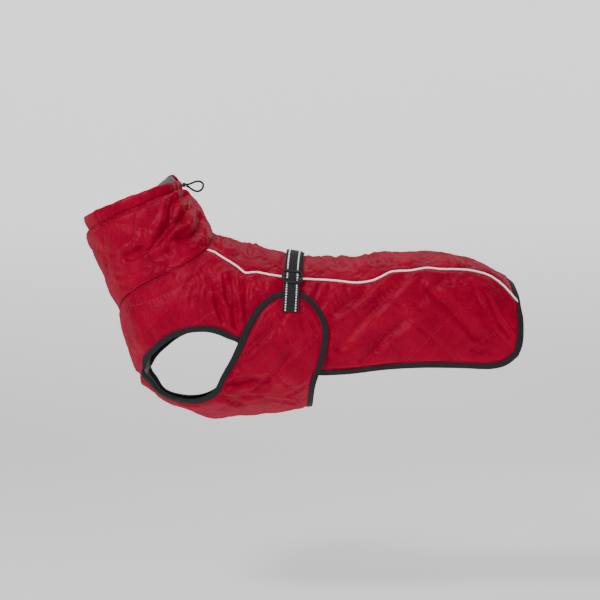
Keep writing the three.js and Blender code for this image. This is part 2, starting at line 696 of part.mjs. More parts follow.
// Closed solid through equal sections, capped at both ends or joined into a ring
function loftGeometry(sections, outline, closed = false) {
  const size = sections[0].length;
  const triangles = [];
  const count = closed ? sections.length : sections.length - 1;
  for (let i = 0; i < count; i++) {
    const next = (i + 1) % sections.length;
    for (let k = 0; k < size; k++) {
      const after = (k + 1) % size;
      const [p, q, r, s] = [i * size + k, next * size + k, next * size + after, i * size + after];
      if (outline[k].x > outline[after].x) triangles.push([p, q, s], [q, r, s]);
      else triangles.push([p, q, r], [p, r, s]);
    }
  }
  if (!closed) {
    const clockwise = THREE.ShapeUtils.isClockWise(outline);
    const last = (sections.length - 1) * size;
    for (const [a, b, c] of THREE.ShapeUtils.triangulateShape(outline, [])) {
      const start = clockwise ? [c, b, a] : [a, b, c];
      triangles.push(start);
      triangles.push(start.map((corner) => corner + last).reverse());
    }
  }
  return solidGeometry(sections.flat(), triangles);
}

// Places moved in from an edge by the width of its binding
function insetEdge(edge, turn) {
  const points = edge.map(basePoint);
  return edge.map((place, index) => {
    const from = points[Math.max(index - 1, 0)];
    const to = points[Math.min(index + 1, points.length - 1)];
    const along = new THREE.Vector3().subVectors(to, from).normalize();
    const inward = formNormal(place.station, place.share).cross(along).normalize();
    return shifted(place, inward.multiplyScalar(turn * BINDING_WIDTH));
  });
}

// Folded tape round a bound edge, as a U from the outer face over the edge to the inner face
const TAPE_OUTLINE = [
  [BINDING_WIDTH, WALL + GAP + TAPE], [-GAP - TAPE, WALL + GAP + TAPE * 0.7],
  [-GAP - TAPE, -GAP - TAPE * 0.7], [BINDING_WIDTH, -GAP - TAPE],
  [BINDING_WIDTH, -GAP], [-GAP, -GAP], [-GAP, WALL + GAP], [BINDING_WIDTH, WALL + GAP],
].map(([inset, lift]) => new THREE.Vector2(inset, lift));

function bindingGeometry(strip, lift, trim) {
  const sections = strip.edge.map((place, index) => {
    const inset = strip.inner[index];
    const out = basePoint(place).sub(basePoint(inset)).divideScalar(BINDING_WIDTH);
    return TAPE_OUTLINE.map((corner) => {
      const point = lifted(place, lift(place) + corner.y);
      if (corner.x > 0) return point.lerp(lifted(inset, lift(inset) + corner.y), FLANGE_SHARE);
      return point.addScaledVector(out, -corner.x);
    });
  });
  shortenEnd(sections[0], sections[1], trim);
  shortenEnd(sections.at(-1), sections.at(-2), trim);
  return loftGeometry(sections, TAPE_OUTLINE);
}

// Tapes end clear of each other where armhole and belly edges meet at the chest
function shortenEnd(end, next, trim) {
  const share = trim / end[0].distanceTo(next[0]);
  for (const [index, point] of end.entries()) point.lerp(next[index], share);
}

// Seam edges drawn back by half the gap
function towards(place, move, distance) {
  return shifted(place, move.clone().normalize().multiplyScalar(distance));
}

function drawnBack(places, side) {
  const points = places.map((place) => formPoint(place.station, place.share).point);
  return places.map((place, index) => {
    const from = points[Math.max(index - 1, 0)];
    const to = points[Math.min(index + 1, points.length - 1)];
    const along = new THREE.Vector3().subVectors(to, from);
    const across = formNormal(place.station, place.share).cross(along);
    return towards(place, across.multiplyScalar(side), GAP / 2 + 0.02);
  });
}

function read(places) {
  return (share) => places[Math.round(share * (places.length - 1))];
}

// Columns along the piped seam, and along the throat and chest seams and the bound lower edge
function sideColumns() {
  const upper = [];
  const lower = [];
  let from = 0;
  for (const [index, stretch] of SIDE_STRETCHES.entries()) {
    const last = stretch.edge === 'hem';
    const to = last ? 1 - BINDING_WIDTH / piping.length : piping.shareAtX(stretch.pipingX);
    for (let step = index ? 1 : 0; step <= stretch.columns; step++) {
      const share = step / stretch.columns;
      upper.push(piping.at(mix(from, to, Math.pow(share, stretch.closer))));
      lower.push(lowerPlace(stretch.edge, share));
    }
    from = to;
  }
  return { upper, lower };
}

function lowerPlace(edge, share) {
  if (edge === 'front') return { station: mix(COLLAR_RING, throatEnd, share), share: 1 };
  if (edge === 'chest' && share < 1) {
    return { station: chestRing, share: mix(1, chestInset, share * (1 + 2 / STEM_COLUMNS)) };
  }
  if (edge === 'chest') return { station: chestRing, share: chestShare };
  if (edge === 'armhole') return armhole.at(share);
  if (edge === 'underWing') return underWing.at(share);
  return hem.at(share);
}

const { upper: pipingPlaces, lower: lowerPlaces } = sideColumns();
const columnCount = pipingPlaces.length - 1;
const frontColumns = SIDE_STRETCHES[0].columns;
const chestColumns = frontColumns + SIDE_STRETCHES[1].columns;
const rearPlaces = rear.samples(SIDE_ROWS);
const rearTopPlaces = rearTop.samples(BACK_CELLS / 2);
const collarSidePlaces = Array.from({ length: SIDE_ROWS + 1 }, (_, row) => (
  { station: COLLAR_RING, share: mix(pipingPlaces[0].share, 1, row / SIDE_ROWS) }));
const collarTopPlaces = Array.from({ length: BACK_CELLS / 2 + 1 }, (_, cell) => (
  { station: COLLAR_RING, share: (pipingPlaces[0].share * cell) / (BACK_CELLS / 2) }));

// Edge of the left side from the throat over the chest and the bound edges to the piping's end,
// and the inner line of its strip
const sideEdge = [
  { station: chestRing, share: 1 },
  ...lowerPlaces.slice(frontColumns + 1),
  ...[...rearPlaces].reverse().slice(1),
];
const sideInset = insetEdge(sideEdge, 1);
sideInset[0] = lowerPlaces[frontColumns];
sideInset[sideInset.length - 1] = pipingPlaces[columnCount];
const topEdge = [piping.at(1), ...[...rearTopPlaces].reverse().slice(1)];
const topInset = insetEdge(topEdge, 1);
topInset[0] = pipingPlaces[columnCount];
topInset[topInset.length - 1] = { station: topInset[topInset.length - 1].station, share: 0 };

function sidePanel(flip) {
  const upper = drawnBack([...pipingPlaces, piping.at(1)], -1);
  const seamEnd = upper.pop();
  const lowerColumns = columnCount - frontColumns;
  const throat = drawnBack(lowerPlaces.slice(0, frontColumns + 1), 1);
  const lower = [...throat, ...sideInset.slice(1, lowerColumns + 1)];
  const front = drawnBack(collarSidePlaces, 1);
  front[0] = cornerOf(upper[0], front[0]);
  upper[0] = front[0];
  front[SIDE_ROWS] = cornerOf(lower[0], front[SIDE_ROWS]);
  lower[0] = front[SIDE_ROWS];
  const back = sideInset.slice(lowerColumns).reverse();
  back[0] = upper[columnCount];
  const sign = flip ? mirrored : (place) => place;
  const patch = coonsPatch(columnCount, SIDE_ROWS, {
    top: read(upper.map(sign)),
    bottom: read(lower.map(sign)),
    front: read(front.map(sign)),
    back: read(back.map(sign)),
  });
  const throatCorner = cornerOf(throat[frontColumns], sideEdge[0]);
  const edge = [throatCorner, ...sideEdge.slice(1, -1), seamEnd].map(sign);
  const inner = [throat[frontColumns], ...sideInset.slice(1, -1), upper[columnCount]].map(sign);
  const strip = flip ? { edge: edge.reverse(), inner: inner.reverse() } : { edge, inner };
  return wallGeometry([patch], [strip], coatLift, coatPuff);
}

// Corner that keeps the station of one edge and the share of the other
function cornerOf(sharePlace, stationPlace) {
  return { station: stationPlace.station, share: sharePlace.share };
}

function backPanel() {
  const left = drawnBack([...pipingPlaces, piping.at(1)], 1);
  const seamEnd = left.pop();
  const frontHalf = drawnBack(collarTopPlaces, 1);
  frontHalf[0] = { station: frontHalf[0].station, share: 0 };
  const frontCorner = cornerOf(left[0], frontHalf[BACK_CELLS / 2]);
  left[0] = frontCorner;
  frontHalf[BACK_CELLS / 2] = frontCorner;
  const across = (half) => [...half.slice(1).reverse(), ...half.map(mirrored)];
  const rearAcross = (half, end) => across([...half.slice(1).reverse(), end]);
  const inner = rearAcross(topInset, left[columnCount]);
  const patch = coonsPatch(columnCount, BACK_CELLS, {
    top: read(left), bottom: read(left.map(mirrored)), front: read(across(frontHalf)), back: read(inner),
  });
  return wallGeometry([patch], [{ edge: rearAcross(topEdge, seamEnd), inner }], coatLift, coatPuff);
}

// Places round the neck seam, from the throat over the left side, the spine and the right side
function neckPlaces() {
  const left = [...collarTopPlaces, ...collarSidePlaces.slice(1)];
  return [...left.slice(1).reverse(), ...left.map(mirrored)];
}

function collarPanel() {
  const around = neckPlaces();
  const last = around.length - 1;
  const rows = COLLAR_ROWS;
  const place = (u, v) => {
    const base = around[Math.round(u * last)];
    const share = base.share;
    const start = COLLAR_RING + (GAP / 2 + 0.02) / stationLength(COLLAR_RING + 0.1, share);
    const end = STITCH_RING - (GAP / 2) / stationLength(STITCH_RING - 0.1, share);
    return { station: mix(start, end, v), share: Math.abs(share) === 1 ? 1 : share };
  };
  return wallGeometry([{ columns: last, rows, place }], [], coatLift, collarPuff);
}

function stationLength(station, share) {
  const next = formPoint(station + SMALL, share).point;
  return next.distanceTo(formPoint(station - SMALL, share).point) / (2 * SMALL);
}

// The rim stands higher on the right side near the nape
function rimRise(share) {
  if (share >= 0) return 0;
  return FAR_RIM_RISE * smooth(-share / 0.14) * (1 - smooth((-share - 0.16) / 0.4));
}

const CASING_OUTLINE = Array.from({ length: 8 }, (_, corner) => {
  const angle = (corner / 8) * 2 * Math.PI + Math.PI / 8;
  return new THREE.Vector2(Math.cos(angle), Math.sin(angle));
});

// Gathered tunnel between the stitch line and the rim
function collarCasing() {
  const steps = CASING_GATHERS * 2;
  const sections = [];
  for (let step = 0; step < steps; step++) {
    const share = 1 - (2 * step) / steps;
    const raised = step % 2 === 0;
    const depth = CASING_DEPTH + (raised ? GATHER_DEPTH : 0) * 0.5;
    const length = stationLength(24.5, share);
    const low = STITCH_RING + (GAP + (raised ? GATHER_DEPTH : 0)) / length;
    const high = RIM_RING + rimRise(share) / length;
    const middle = (low + high) / 2;
    const reach = (high - low) / 2;
    sections.push(CASING_OUTLINE.map((corner) => {
      const place = { station: middle + reach * corner.x, share };
      return lifted(place, CASING_DEPTH + 0.6 + depth * corner.y);
    }));
  }
  return loftGeometry(sections, CASING_OUTLINE, true);
}

// Fleece facing inside the collar, from its middle up to the rim
function collarLining() {
  const inner = LINING_LEVELS.map((level) => new THREE.Vector2(level.ring, level.lift - LINING));
  const outer = LINING_LEVELS.map((level) => new THREE.Vector2(level.ring, level.lift)).reverse();
  const outline = [...inner, ...outer];
  const sections = neckPlaces().slice(1).map(({ share }) => outline.map((corner) => {
    const risen = rimRise(share) / stationLength(24.5, share);
    const station = corner.x + risen * smooth((corner.x - 23.9) / 1.1);
    return lifted({ station, share }, corner.y);
  }));
  return loftGeometry(sections, outline, true);
}

// Belly panel: a stem between the forelegs, widening into a wing on each side
const stemPlaces = stem.samples(STEM_ROWS);
const wingFrontPlaces = wingFront.samples(WING_COLUMNS);
const wingTopPlaces = wingTop.samples(BELLY_ROWS);
const halfRearColumns = WING_COLUMNS + STEM_COLUMNS / 2;
const wingRearPlaces = wingRear.samples(halfRearColumns);

const chestGap = (GAP + 0.04) / stationLength(chestRing, chestShare);

// Bound edge of the belly panel from the left chest corner round to the right one
function bellyStrip() {
  const half = [
    { station: chestRing - chestGap, share: chestShare },
    ...stemPlaces.slice(1, -1),
    ...wingFrontPlaces.slice(0, -1),
    ...wingTopPlaces.slice(0, -1),
    ...wingRearPlaces,
  ];
  const edge = [...half, ...half.slice(0, -1).reverse().map(mirroredUnder)];
  const halfInset = insetEdge(edge, -1).slice(0, half.length);
  halfInset[0] = { station: chestRing - chestGap, share: chestInset };
  halfInset[half.length - 1].share = 1;
  return { edge, inner: [...halfInset, ...halfInset.slice(0, -1).reverse().map(mirroredUnder)] };
}

function bellyPanel() {
  const strip = bellyStrip();
  const corner = strip.inner[STEM_ROWS];
  const junction = [];
  const chest = [];
  for (let column = 0; column <= STEM_COLUMNS; column++) {
    const share = column / STEM_COLUMNS;
    const sideways = Math.abs(2 * share - 1);
    const station = corner.station + 0.25 * (1 - sideways * sideways);
    junction.push({ station, share: mix(corner.share, 2 - corner.share, share) });
    chest.push({ station: chestRing - chestGap, share: mix(chestInset, 2 - chestInset, share) });
  }
  const stemEdge = strip.inner.slice(0, STEM_ROWS + 1);
  const stemPatch = coonsPatch(STEM_COLUMNS, STEM_ROWS, {
    top: read(chest), bottom: read(junction), front: read(stemEdge), back: read(stemEdge.map(mirroredUnder)),
  });
  const wingEnd = STEM_ROWS + WING_COLUMNS;
  const frontEdge = strip.inner.slice(STEM_ROWS, wingEnd + 1);
  const topEdgePlaces = strip.inner.slice(wingEnd, wingEnd + BELLY_ROWS + 1);
  const rearEdge = strip.inner.slice(wingEnd + BELLY_ROWS, strip.inner.length - wingEnd - BELLY_ROWS);
  const rightEdge = frontEdge.slice(1).map(mirroredUnder);
  const frontWhole = [...[...frontEdge].reverse(), ...junction.slice(1), ...rightEdge];
  const wingPatch = coonsPatch(frontWhole.length - 1, BELLY_ROWS, {
    top: read(frontWhole), bottom: read(rearEdge),
    front: read(topEdgePlaces), back: read(topEdgePlaces.map(mirroredUnder)),
  });
  return wallGeometry([stemPatch, wingPatch], [strip], bellyLift, bellyPuff);
}

// One tape from the left armhole round the hem and the rear edge to the right armhole
function coatStrip() {
  const whole = (side, top) => {
    const half = [...side, ...top.slice(1)];
    return [...half, ...half.slice(0, -1).reverse().map(mirrored)];
  };
  const start = chestColumns - frontColumns;
  return { edge: whole(sideEdge.slice(start), topEdge), inner: whole(sideInset.slice(start), topInset) };
}

// Piping lies over the seam between the back panel and a side panel
function pipingGeometry(sign) {
  const lift = WALL + GAP + PIPING_RADIUS + 0.2;
  const points = Array.from({ length: PIPING_STEPS + 1 }, (_, step) => {
    const reach = mix(PIPING_START, piping.length - PIPING_END, step / PIPING_STEPS);
    const place = piping.at(reach / piping.length);
    return lifted({ ...place, share: place.share * sign }, lift);
  });
  const curve = new THREE.CatmullRomCurve3(points, false, 'centripetal');
  return tubeGeometry(curve, PIPING_RADIUS, 6, PIPING_STEPS);
}

function tubeGeometry(curve, radius, sides, steps) {
  const section = new THREE.Shape();
  for (let side = 0; side < sides; side++) {
    const angle = (side / sides) * 2 * Math.PI;
    const x = radius * Math.cos(angle);
    const y = radius * Math.sin(angle);
    if (side === 0) section.moveTo(x, y);
    else section.lineTo(x, y);
  }
  section.closePath();
  return new THREE.ExtrudeGeometry(section, { steps, bevelEnabled: false, extrudePath: curve });
}

// Place on the left or right side with a given share and x
function placeAtX(share, x) {
  let low = 2;
  let high = 14;
  for (let turn = 0; turn < 50; turn++) {
    const middle = (low + high) / 2;
    if (formPoint(middle, share).point.x > x) low = middle;
    else high = middle;
  }
  return { station: low, share };
}

function routeLift(route, share) {
  let index = 0;
  while (index < route.length - 2 && route[index + 1].share < share) index++;
  const from = route[index];
  const to = route[index + 1];
  return mix(from.lift, to.lift, THREE.MathUtils.clamp((share - from.share) / (to.share - from.share), 0, 1));
}

function webbingGeometry(route, offset) {
  const shares = route.flatMap((row, index) => {
    const next = route[index + 1];
    if (!next) return [row.share];
    const parts = Math.max(1, Math.ceil((next.share - row.share) / STRAP_STEP));
    return Array.from({ length: parts }, (_, part) => mix(row.share, next.share, part / parts));
  });
  const outline = [[-0.5, 0], [0.5, 0], [0.5, 1], [-0.5, 1]].map(([x, y]) => new THREE.Vector2(x, y));
  const sections = shares.map((share) => outline.map((corner) => {
    const place = placeAtX(share, strapX(share) + offset + corner.x * WEBBING_WIDTH);
    return lifted(place, routeLift(route, share) + corner.y * WEBBING);
  }));
  return loftGeometry(sections, outline);
}

function sliderGeometry() {
  const { width, height, cornerCut, slotWidth, slotHeight, bar, thick } = SLIDER;
  const x = width / 2;
  const y = height / 2;
  const rise = y - cornerCut * 1.6;
  const corners = [
    [-x, -rise], [cornerCut - x, -y], [x - cornerCut, -y], [x, -rise],
    [x, rise], [x - cornerCut, y], [cornerCut - x, y], [-x, rise],
  ];
  const plate = new THREE.Shape(corners.map(([across, up]) => new THREE.Vector2(across, up)));
  for (const side of [-1, 1]) {
    const low = (side * (bar + slotHeight) - slotHeight) / 2;
    const high = low + slotHeight;
    const slot = [[-slotWidth / 2, low], [slotWidth / 2, low], [slotWidth / 2, high], [-slotWidth / 2, high]];
    plate.holes.push(new THREE.Path(slot.map(([across, up]) => new THREE.Vector2(across, up))));
  }
  return new THREE.ExtrudeGeometry(plate, { depth: thick, bevelEnabled: false });
}

function placeSlider(mesh) {
  const place = placeAtX(SLIDER_SHARE, strapX(SLIDER_SHARE));
  const out = formNormal(place.station, place.share);
  const below = placeAtX(SLIDER_SHARE + 0.02, strapX(SLIDER_SHARE + 0.02));
  const up = formPoint(place.station, place.share).point.sub(formPoint(below.station, below.share).point);
  up.addScaledVector(out, -up.dot(out)).normalize();
  const across = new THREE.Vector3().crossVectors(up, out);
  mesh.setRotationFromMatrix(new THREE.Matrix4().makeBasis(across, up, out));
  mesh.position.copy(lifted(place, SLIDER_LIFT));
}

function placeBead(mesh) {
  mesh.rotation.z = Math.PI / 2;
  mesh.position.copy(lifted({ station: BEAD.ring, share: 0 }, BEAD.lift));
  return mesh.position;
}

function cloth(color, roughness) {
  return new THREE.MeshStandardMaterial({ color, roughness, metalness: 0 });
}

const crimson = () => cloth(0xa5122f, 0.45);
const blackTape = () => cloth(0x16181a, 0.8);
const fleece = () => cloth(0x7d7f82, 0.95);
const reflective = () => cloth(0xe9e7e4, 0.35);

const coat = new THREE.Group();

function add(name, geometry, material) {
  const mesh = new THREE.Mesh(geometry, material);
  mesh.name = name;
  coat.add(mesh);
  return mesh;
}

add('back_panel', backPanel(), crimson());
add('side_panel_left', sidePanel(false), crimson());
add('side_panel_right', sidePanel(true), crimson());
add('collar', collarPanel(), crimson());
add('collar_casing', collarCasing(), crimson());
add('collar_lining', collarLining(), fleece());
add('belly_panel', bellyPanel(), crimson());
add('hem_binding', bindingGeometry(coatStrip(), coatLift, 1), blackTape());
add('belly_binding', bindingGeometry(bellyStrip(), bellyLift, 1.5), blackTape());
add('piping_left', pipingGeometry(1), reflective());
add('piping_right', pipingGeometry(-1), reflective());
add('girth_strap', webbingGeometry(STRAP_ROUTE, 0), blackTape());
add('strap_return', webbingGeometry(RETURN_ROUTE, RETURN_OFFSET), blackTape());
placeSlider(add('strap_slider', sliderGeometry(), cloth(0x1b1c1e, 0.4)));
const beadShape = new THREE.CylinderGeometry(BEAD.radius, BEAD.radius, BEAD.length, 12);
const beadSpot = placeBead(add('cord_bead', beadShape, cloth(0x141414, 0.5)));
const loopStart = new THREE.Vector3(beadSpot.x + BEAD.length / 2 + GAP, 0, beadSpot.z);
const loopPoints = LOOP_ROUTE.map((row) => new THREE.Vector3(row.x, row.y, row.z).add(loopStart));
const loopCurve = new THREE.CatmullRomCurve3(loopPoints, false, 'centripetal');
add('drawcord_loop', tubeGeometry(loopCurve, CORD_RADIUS, 8, 16), cloth(0x0f0f10, 0.7));

export default coat;
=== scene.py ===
import math

import bmesh
import bpy
import numpy as np
from mathutils import Matrix, Vector


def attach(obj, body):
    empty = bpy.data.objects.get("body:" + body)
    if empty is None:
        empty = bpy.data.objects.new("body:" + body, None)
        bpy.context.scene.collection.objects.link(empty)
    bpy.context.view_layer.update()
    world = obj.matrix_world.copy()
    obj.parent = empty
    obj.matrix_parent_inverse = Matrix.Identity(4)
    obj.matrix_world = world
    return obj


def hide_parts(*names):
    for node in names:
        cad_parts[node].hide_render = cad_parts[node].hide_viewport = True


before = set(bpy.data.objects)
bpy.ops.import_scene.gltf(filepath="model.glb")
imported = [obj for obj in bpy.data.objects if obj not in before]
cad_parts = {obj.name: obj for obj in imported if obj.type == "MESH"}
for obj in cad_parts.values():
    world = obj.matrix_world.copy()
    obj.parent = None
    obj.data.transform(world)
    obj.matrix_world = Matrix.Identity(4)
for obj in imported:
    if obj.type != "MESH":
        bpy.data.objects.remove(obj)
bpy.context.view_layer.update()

bl_info = {
    "name": "Dog winter coat",
    "version": (1, 0, 0),
    "blender": (4, 5, 0),
    "location": "3D View > Sidebar > Coat",
    "description": "Quilted dog coat with a drawcord collar, girth strap and bound edges",
    "category": "Object",
}

ROOT = "root"

# Cloth and trim sizes in millimetres, as in the part's source
WALL = 2.5
THINNEST = 1.3
SHELL = 1.2
PUFF = 3.0
SKIN = 5.0
GAP = 0.3
DIAMOND = 70.0
BINDING_WIDTH = 9.0
TAPE = 0.8
PIPING_RADIUS = 1.5
WEBBING_WIDTH = 25.0
WEBBING = 1.2
CORD_RADIUS = 1.65
WING_LIFT = 5.2
CASING_DEPTH = 2.6
FAR_RIM_RISE = 18.0

# Rings of the form: spine x and z, throat x and z, half width, fullness of the lower half, bow
RINGS = np.array([
    (442, -65, 450, -297, 79, 2.6, 0), (427, -53, 435, -285, 84, 2.6, 0), (403, -37, 411, -273, 88, 2.6, 0),
    (373, -23, 378, -261, 92, 2.6, 0), (328, -10, 330, -248, 93, 2.6, 0), (272, -6, 272, -241, 90, 2.6, 0),
    (216, -9, 214, -241, 88, 2.5, 0), (160, -16, 157, -248, 90, 2.4, 0), (112, -14, 106, -256, 94, 2.3, 0),
    (72, -8, 61, -263, 98, 2.2, 0), (21, 1, -8, -270, 101, 2.2, 0), (2, 5, -51, -273, 102, 2.2, 0),
    (-13, 10, -96, -259, 102, 2.2, 0), (-26, 15, -136, -240, 101, 2.2, 2),
    (-36, 17.5, -163, -213, 99, 2.2, 6), (-44, 19.5, -179, -181, 96, 2.2, 10),
    (-50, 22, -189, -144, 91, 2.2, 15), (-55, 27, -196, -110, 86, 2.1, 18),
    (-59, 36, -205, -92, 82, 2.1, 18), (-64, 48, -214, -73, 78, 2.1, 15), (-70, 61, -222, -54, 77, 2.1, 12),
    (-77, 72, -232, -30, 76, 2.1, 8), (-85, 81, -243, -9, 75, 2.1, 4), (-91, 89, -253, 11, 72, 2.1, 2),
    (-99, 91, -251, 26, 64, 2, 0), (-104, 106, -258, 47, 62, 2, 0),
], float)
NECK, STITCH, CASING_RING, RIM = 17.0, 24.0, 24.5, 25.0
TOP_FULL = 2.1

# Seams and edges of the left side by x and height; rows with a "y" go by x and sideways place
PIPING_LINE = [
    (-55, -6), (-46, -9), (-32, -18), (-11, -31), (4, -42), (21, -41), (43, -45), (77, -50), (110, -52),
    (144, -54), (180, -57), (200, -54), (216, -47), (231, -40), (260, -38), (286, -34), (312, -36),
    (363, -39), (381, -44), (397, -53), (411, -66), (423, -80), (434, -96),
]
ARMHOLE_LINE = [
    (-157, -192), (-150, -178), (-134, -162), (-115, -147), (-92, -137), (-66, -133), (-38, -137), (-9, -149),
]
UNDER_WING_LINE = [(-9, -149), (20, -168), (50, -184), (85, -196), (122, -202)]
HEM_LINE = [
    (122, -202), (153, -201), (184, -198), (215, -194), (277, -190), (330, -190), (384, -191), (400, -188),
    (413, -182), (422, -174),
]
REAR_LINE = [(434, -96), (436, -110), (436, -128), (434, -148), (429, -164), (422, -174)]
REAR_TOP_LINE = [(427, 0, "y"), (428, -20, "y"), (430, -38, "y"), (433, -52, "y"), (434, -96)]
STEM_LINE = [
    (-157, -192), (-153.5, -199), (-148.5, -211), (-139, -39, "y"), (-124, -41, "y"), (-100, -48, "y"),
    (-72, -63, "y"), (-44, -227),
]
WING_FRONT_LINE = [
    (-44, -227), (-32, -202), (-18, -177), (-6, -150), (2, -130), (10, -116), (21, -99), (33, -86.5),
    (48, -76.5),
]
WING_TOP_LINE = [(48, -76.5), (63, -72.5), (79, -72), (94, -76.5)]
WING_REAR_LINE = [
    (94, -76.5), (108, -86), (119, -100), (126, -113), (130, -128), (130, -146), (127, -165), (123, -184),
    (116, -200), (111, -217), (109, -237), (107, 0, "y"),
]

# Stretches of a side panel's lower edge: name, columns, x where the piping's stretch ends, crowding
STRETCHES = [
    ("front", 5, -55.5, 1), ("chest", 5, -52, 1), ("armhole", 12, 45, 1.5), ("under", 7, 140, 1),
    ("hem", 15, 434, 1),
]
SIDE_ROWS, BACK_CELLS, STEM_COLUMNS, STEM_ROWS, WING_COLUMNS, BELLY_ROWS = 11, 8, 8, 6, 14, 8

# Creases: path, half width and depth. The fine ones are added to those of the part's source.
COAT_CREASES = [
    ([(-111, 74), (-114, 47), (-123, 24), (-141, -5), (-177, -16)], 7, 3.5),
    ([(-98, 45), (-118, 24)], 8, 3.5),
    ([(-91, 55), (-98, 35)], 6, 2.5),
    ([(-70, 45), (-79, 16), (-96, 13)], 8, 3.5),
    ([(-93, 82), (-106, 71)], 6, 3),
    ([(-128, 15), (-178, -19)], 8, 2.5),
    ([(-116, -9), (-139, -17)], 7, 2),
    ([(-38, -85), (-30, -117)], 6, 2.5),
    ([(-14, -90), (-9, -126)], 6, 2.5),
    ([(6, -60), (6, -112)], 6, 2.5),
    ([(-20, -50), (-23, -85)], 6, 2),
    ([(249, -51), (233, -66), (151, -156)], 9, 3.5),
    ([(253, -112), (221, -143), (190, -177)], 9, 3.5),
    ([(190, -68), (162, -88), (140, -105)], 8, 3),
    ([(293, -72), (329, -106), (363, -143)], 8, 2),
    ([(8, -5, "y"), (10, -50, "y")], 5, 2.5),
    ([(-20, -8, "y"), (-24, -46, "y")], 5, 2),
    ([(142, -4, "y"), (150, -48, "y")], 7, 2.5),
    ([(196, -6, "y"), (206, -46, "y")], 6, 2),
]
BELLY_CREASES = [
    ([(49, -126), (-9, -186)], 8, 3),
    ([(75, -165), (51, -193), (25, -219)], 8, 3),
    ([(-25, -217), (22, -207)], 7, 3),
    ([(-34, -233), (-6, -245)], 7, 2.5),
]
FINE_COAT_CREASES = [
    ([(244, -57), (228, -72), (190, -113), (158, -148)], 3, 2.4),
    ([(250, -114), (222, -142), (194, -172)], 3, 2.2),
    ([(190, -70), (164, -88), (144, -102)], 2.5, 1.8),
    ([(-112, 68), (-116, 42), (-127, 16), (-148, -8), (-172, -16)], 2.6, 1.8),
    ([(-99, 43), (-117, 26)], 2.6, 1.6),
    ([(-72, 42), (-80, 18), (-94, 13)], 2.6, 1.6),
    ([(-30, -46), (-27, -66), (-21, -92)], 3.2, 1.3),
    ([(-15, -52), (-12, -96)], 3.4, 1.4),
    ([(-42, -78), (-33, -111)], 3, 1.3),
    ([(-54, -70), (-56, -104)], 3.5, 0.9),
    ([(-74, -64), (-80, -92)], 4, 0.8),
    ([(18, -66), (14, -96)], 3, 1),
    ([(34, -58), (36, -74)], 3, 0.9),
    ([(-152, 18), (-160, -6)], 5, 0.8),
    ([(-174, 10), (-188, -22)], 5, 0.8),
    ([(-150, -40), (-196, -48)], 4, 0.9),
    ([(-92, 22), (-120, 2)], 4, 1.2),
    ([(-84, 60), (-88, 36)], 3.5, 1.2),
    ([(-78, 2), (-104, -6)], 4, 1),
    ([(118, -62), (112, -78)], 4, 1.2),
    ([(134, -60), (133, -76)], 3.5, 1),
    ([(162, -60), (158, -74)], 3.5, 1),
    ([(236, -60), (206, -84), (150, -128)], 3.5, 0.8),
    ([(300, -150), (262, -118), (231, -100)], 4, 0.8),
    ([(322, -46), (324, -62)], 3.5, 1),
    ([(376, -72), (392, -110), (412, -140)], 4.5, 1.3),
    ([(355, -60), (368, -92)], 4, 0.9),
    ([(330, -150), (356, -160), (388, -164)], 5, 0.7),
    ([(20, -12, "y"), (30, -46, "y")], 3.5, 1.4),
    ([(-36, -10, "y"), (-40, -40, "y")], 3.5, 1.2),
    ([(118, -2, "y"), (124, -40, "y")], 3.5, 1.3),
    ([(164, -20, "y"), (172, -54, "y")], 3.5, 1.2),
    ([(222, -12, "y"), (228, -50, "y")], 4, 1.2),
    ([(262, -18, "y"), (268, -52, "y")], 4, 1),
    ([(318, -14, "y"), (326, -54, "y")], 4.5, 1.1),
    ([(352, -20, "y"), (346, -50, "y")], 4, 0.9),
]
FINE_BELLY_CREASES = [
    ([(47, -129), (20, -157), (-7, -184)], 2.4, 1.6),
    ([(74, -167), (52, -192), (28, -216)], 2.4, 1.3),
    ([(49, -199), (66, -216)], 2.6, 1.2),
    ([(49, -199), (33, -183)], 2.6, 0.9),
    ([(49, -199), (64, -187)], 2.6, 1.1),
    ([(49, -199), (34, -212)], 2.6, 1.1),
    ([(10, -120), (-14, -164)], 5, 0.7),
    ([(66, -100), (50, -150)], 5, 0.9),
    ([(92, -110), (100, -150)], 5, 0.8),
    ([(-8, -204), (-30, -226)], 4, 1.2),
    ([(96, -214), (70, -234)], 4.5, 1.3),
    ([(30, -232), (-12, -236)], 4, 1.1),
    ([(78, -246), (44, -240)], 4, 1),
]
FAR_SIDE_SHIFT = 7.0
FAR_SIDE_DEPTH = 0.85

# Stitch line phases of the quilting, as shares of a diamond: rising, falling
COAT_QUILT = (0.77, 0.58)
BELLY_QUILT = (0.16, 0.31)
COLLAR_QUILT = (0.1, 0.1)
COLLAR_LENGTHS = (80.0, 142.0)

# Height of the webbing's inner face by share of the half girth
STRAP_ROUTE = [
    (-0.408, 8.9), (-0.36, 8.8), (-0.34, 9.5), (-0.303, 9.5), (-0.28, 7.4), (-0.2, 6.8), (-0.1, 7.6),
    (0, 8.3), (0.1, 7.6), (0.18, 7.1), (0.227, 7.1), (0.242, 11), (0.2555, 11), (0.27, 7.1), (0.288, 7.1),
    (0.303, 9.5), (0.34, 9.5), (0.36, 8.8), (0.408, 8.9),
]
RETURN_ROUTE = [(-0.08, 5.2), (-0.03, 6.6), (0, 6.8), (0.04, 6.3), (0.1, 5.6), (0.239, 5.4)]
RETURN_OFFSET = 3.0
STRAP_X, STRAP_LEAN = 80.0, 18.0
SLIDER_SHARE, SLIDER_LIFT = 0.249, 8.5
BEAD_RING, BEAD_LIFT, BEAD_LENGTH = 24.55, 9.6, 5.0

# The bead's section by radius and place along it
BEAD_SECTION = [
    (2.0, -2.3), (2.9, -2.5), (3.4, -2.2), (3.6, -1.6), (3.55, 0), (3.6, 1.6), (3.4, 2.2), (2.9, 2.5),
    (2.0, 2.3), (1.9, 0),
]

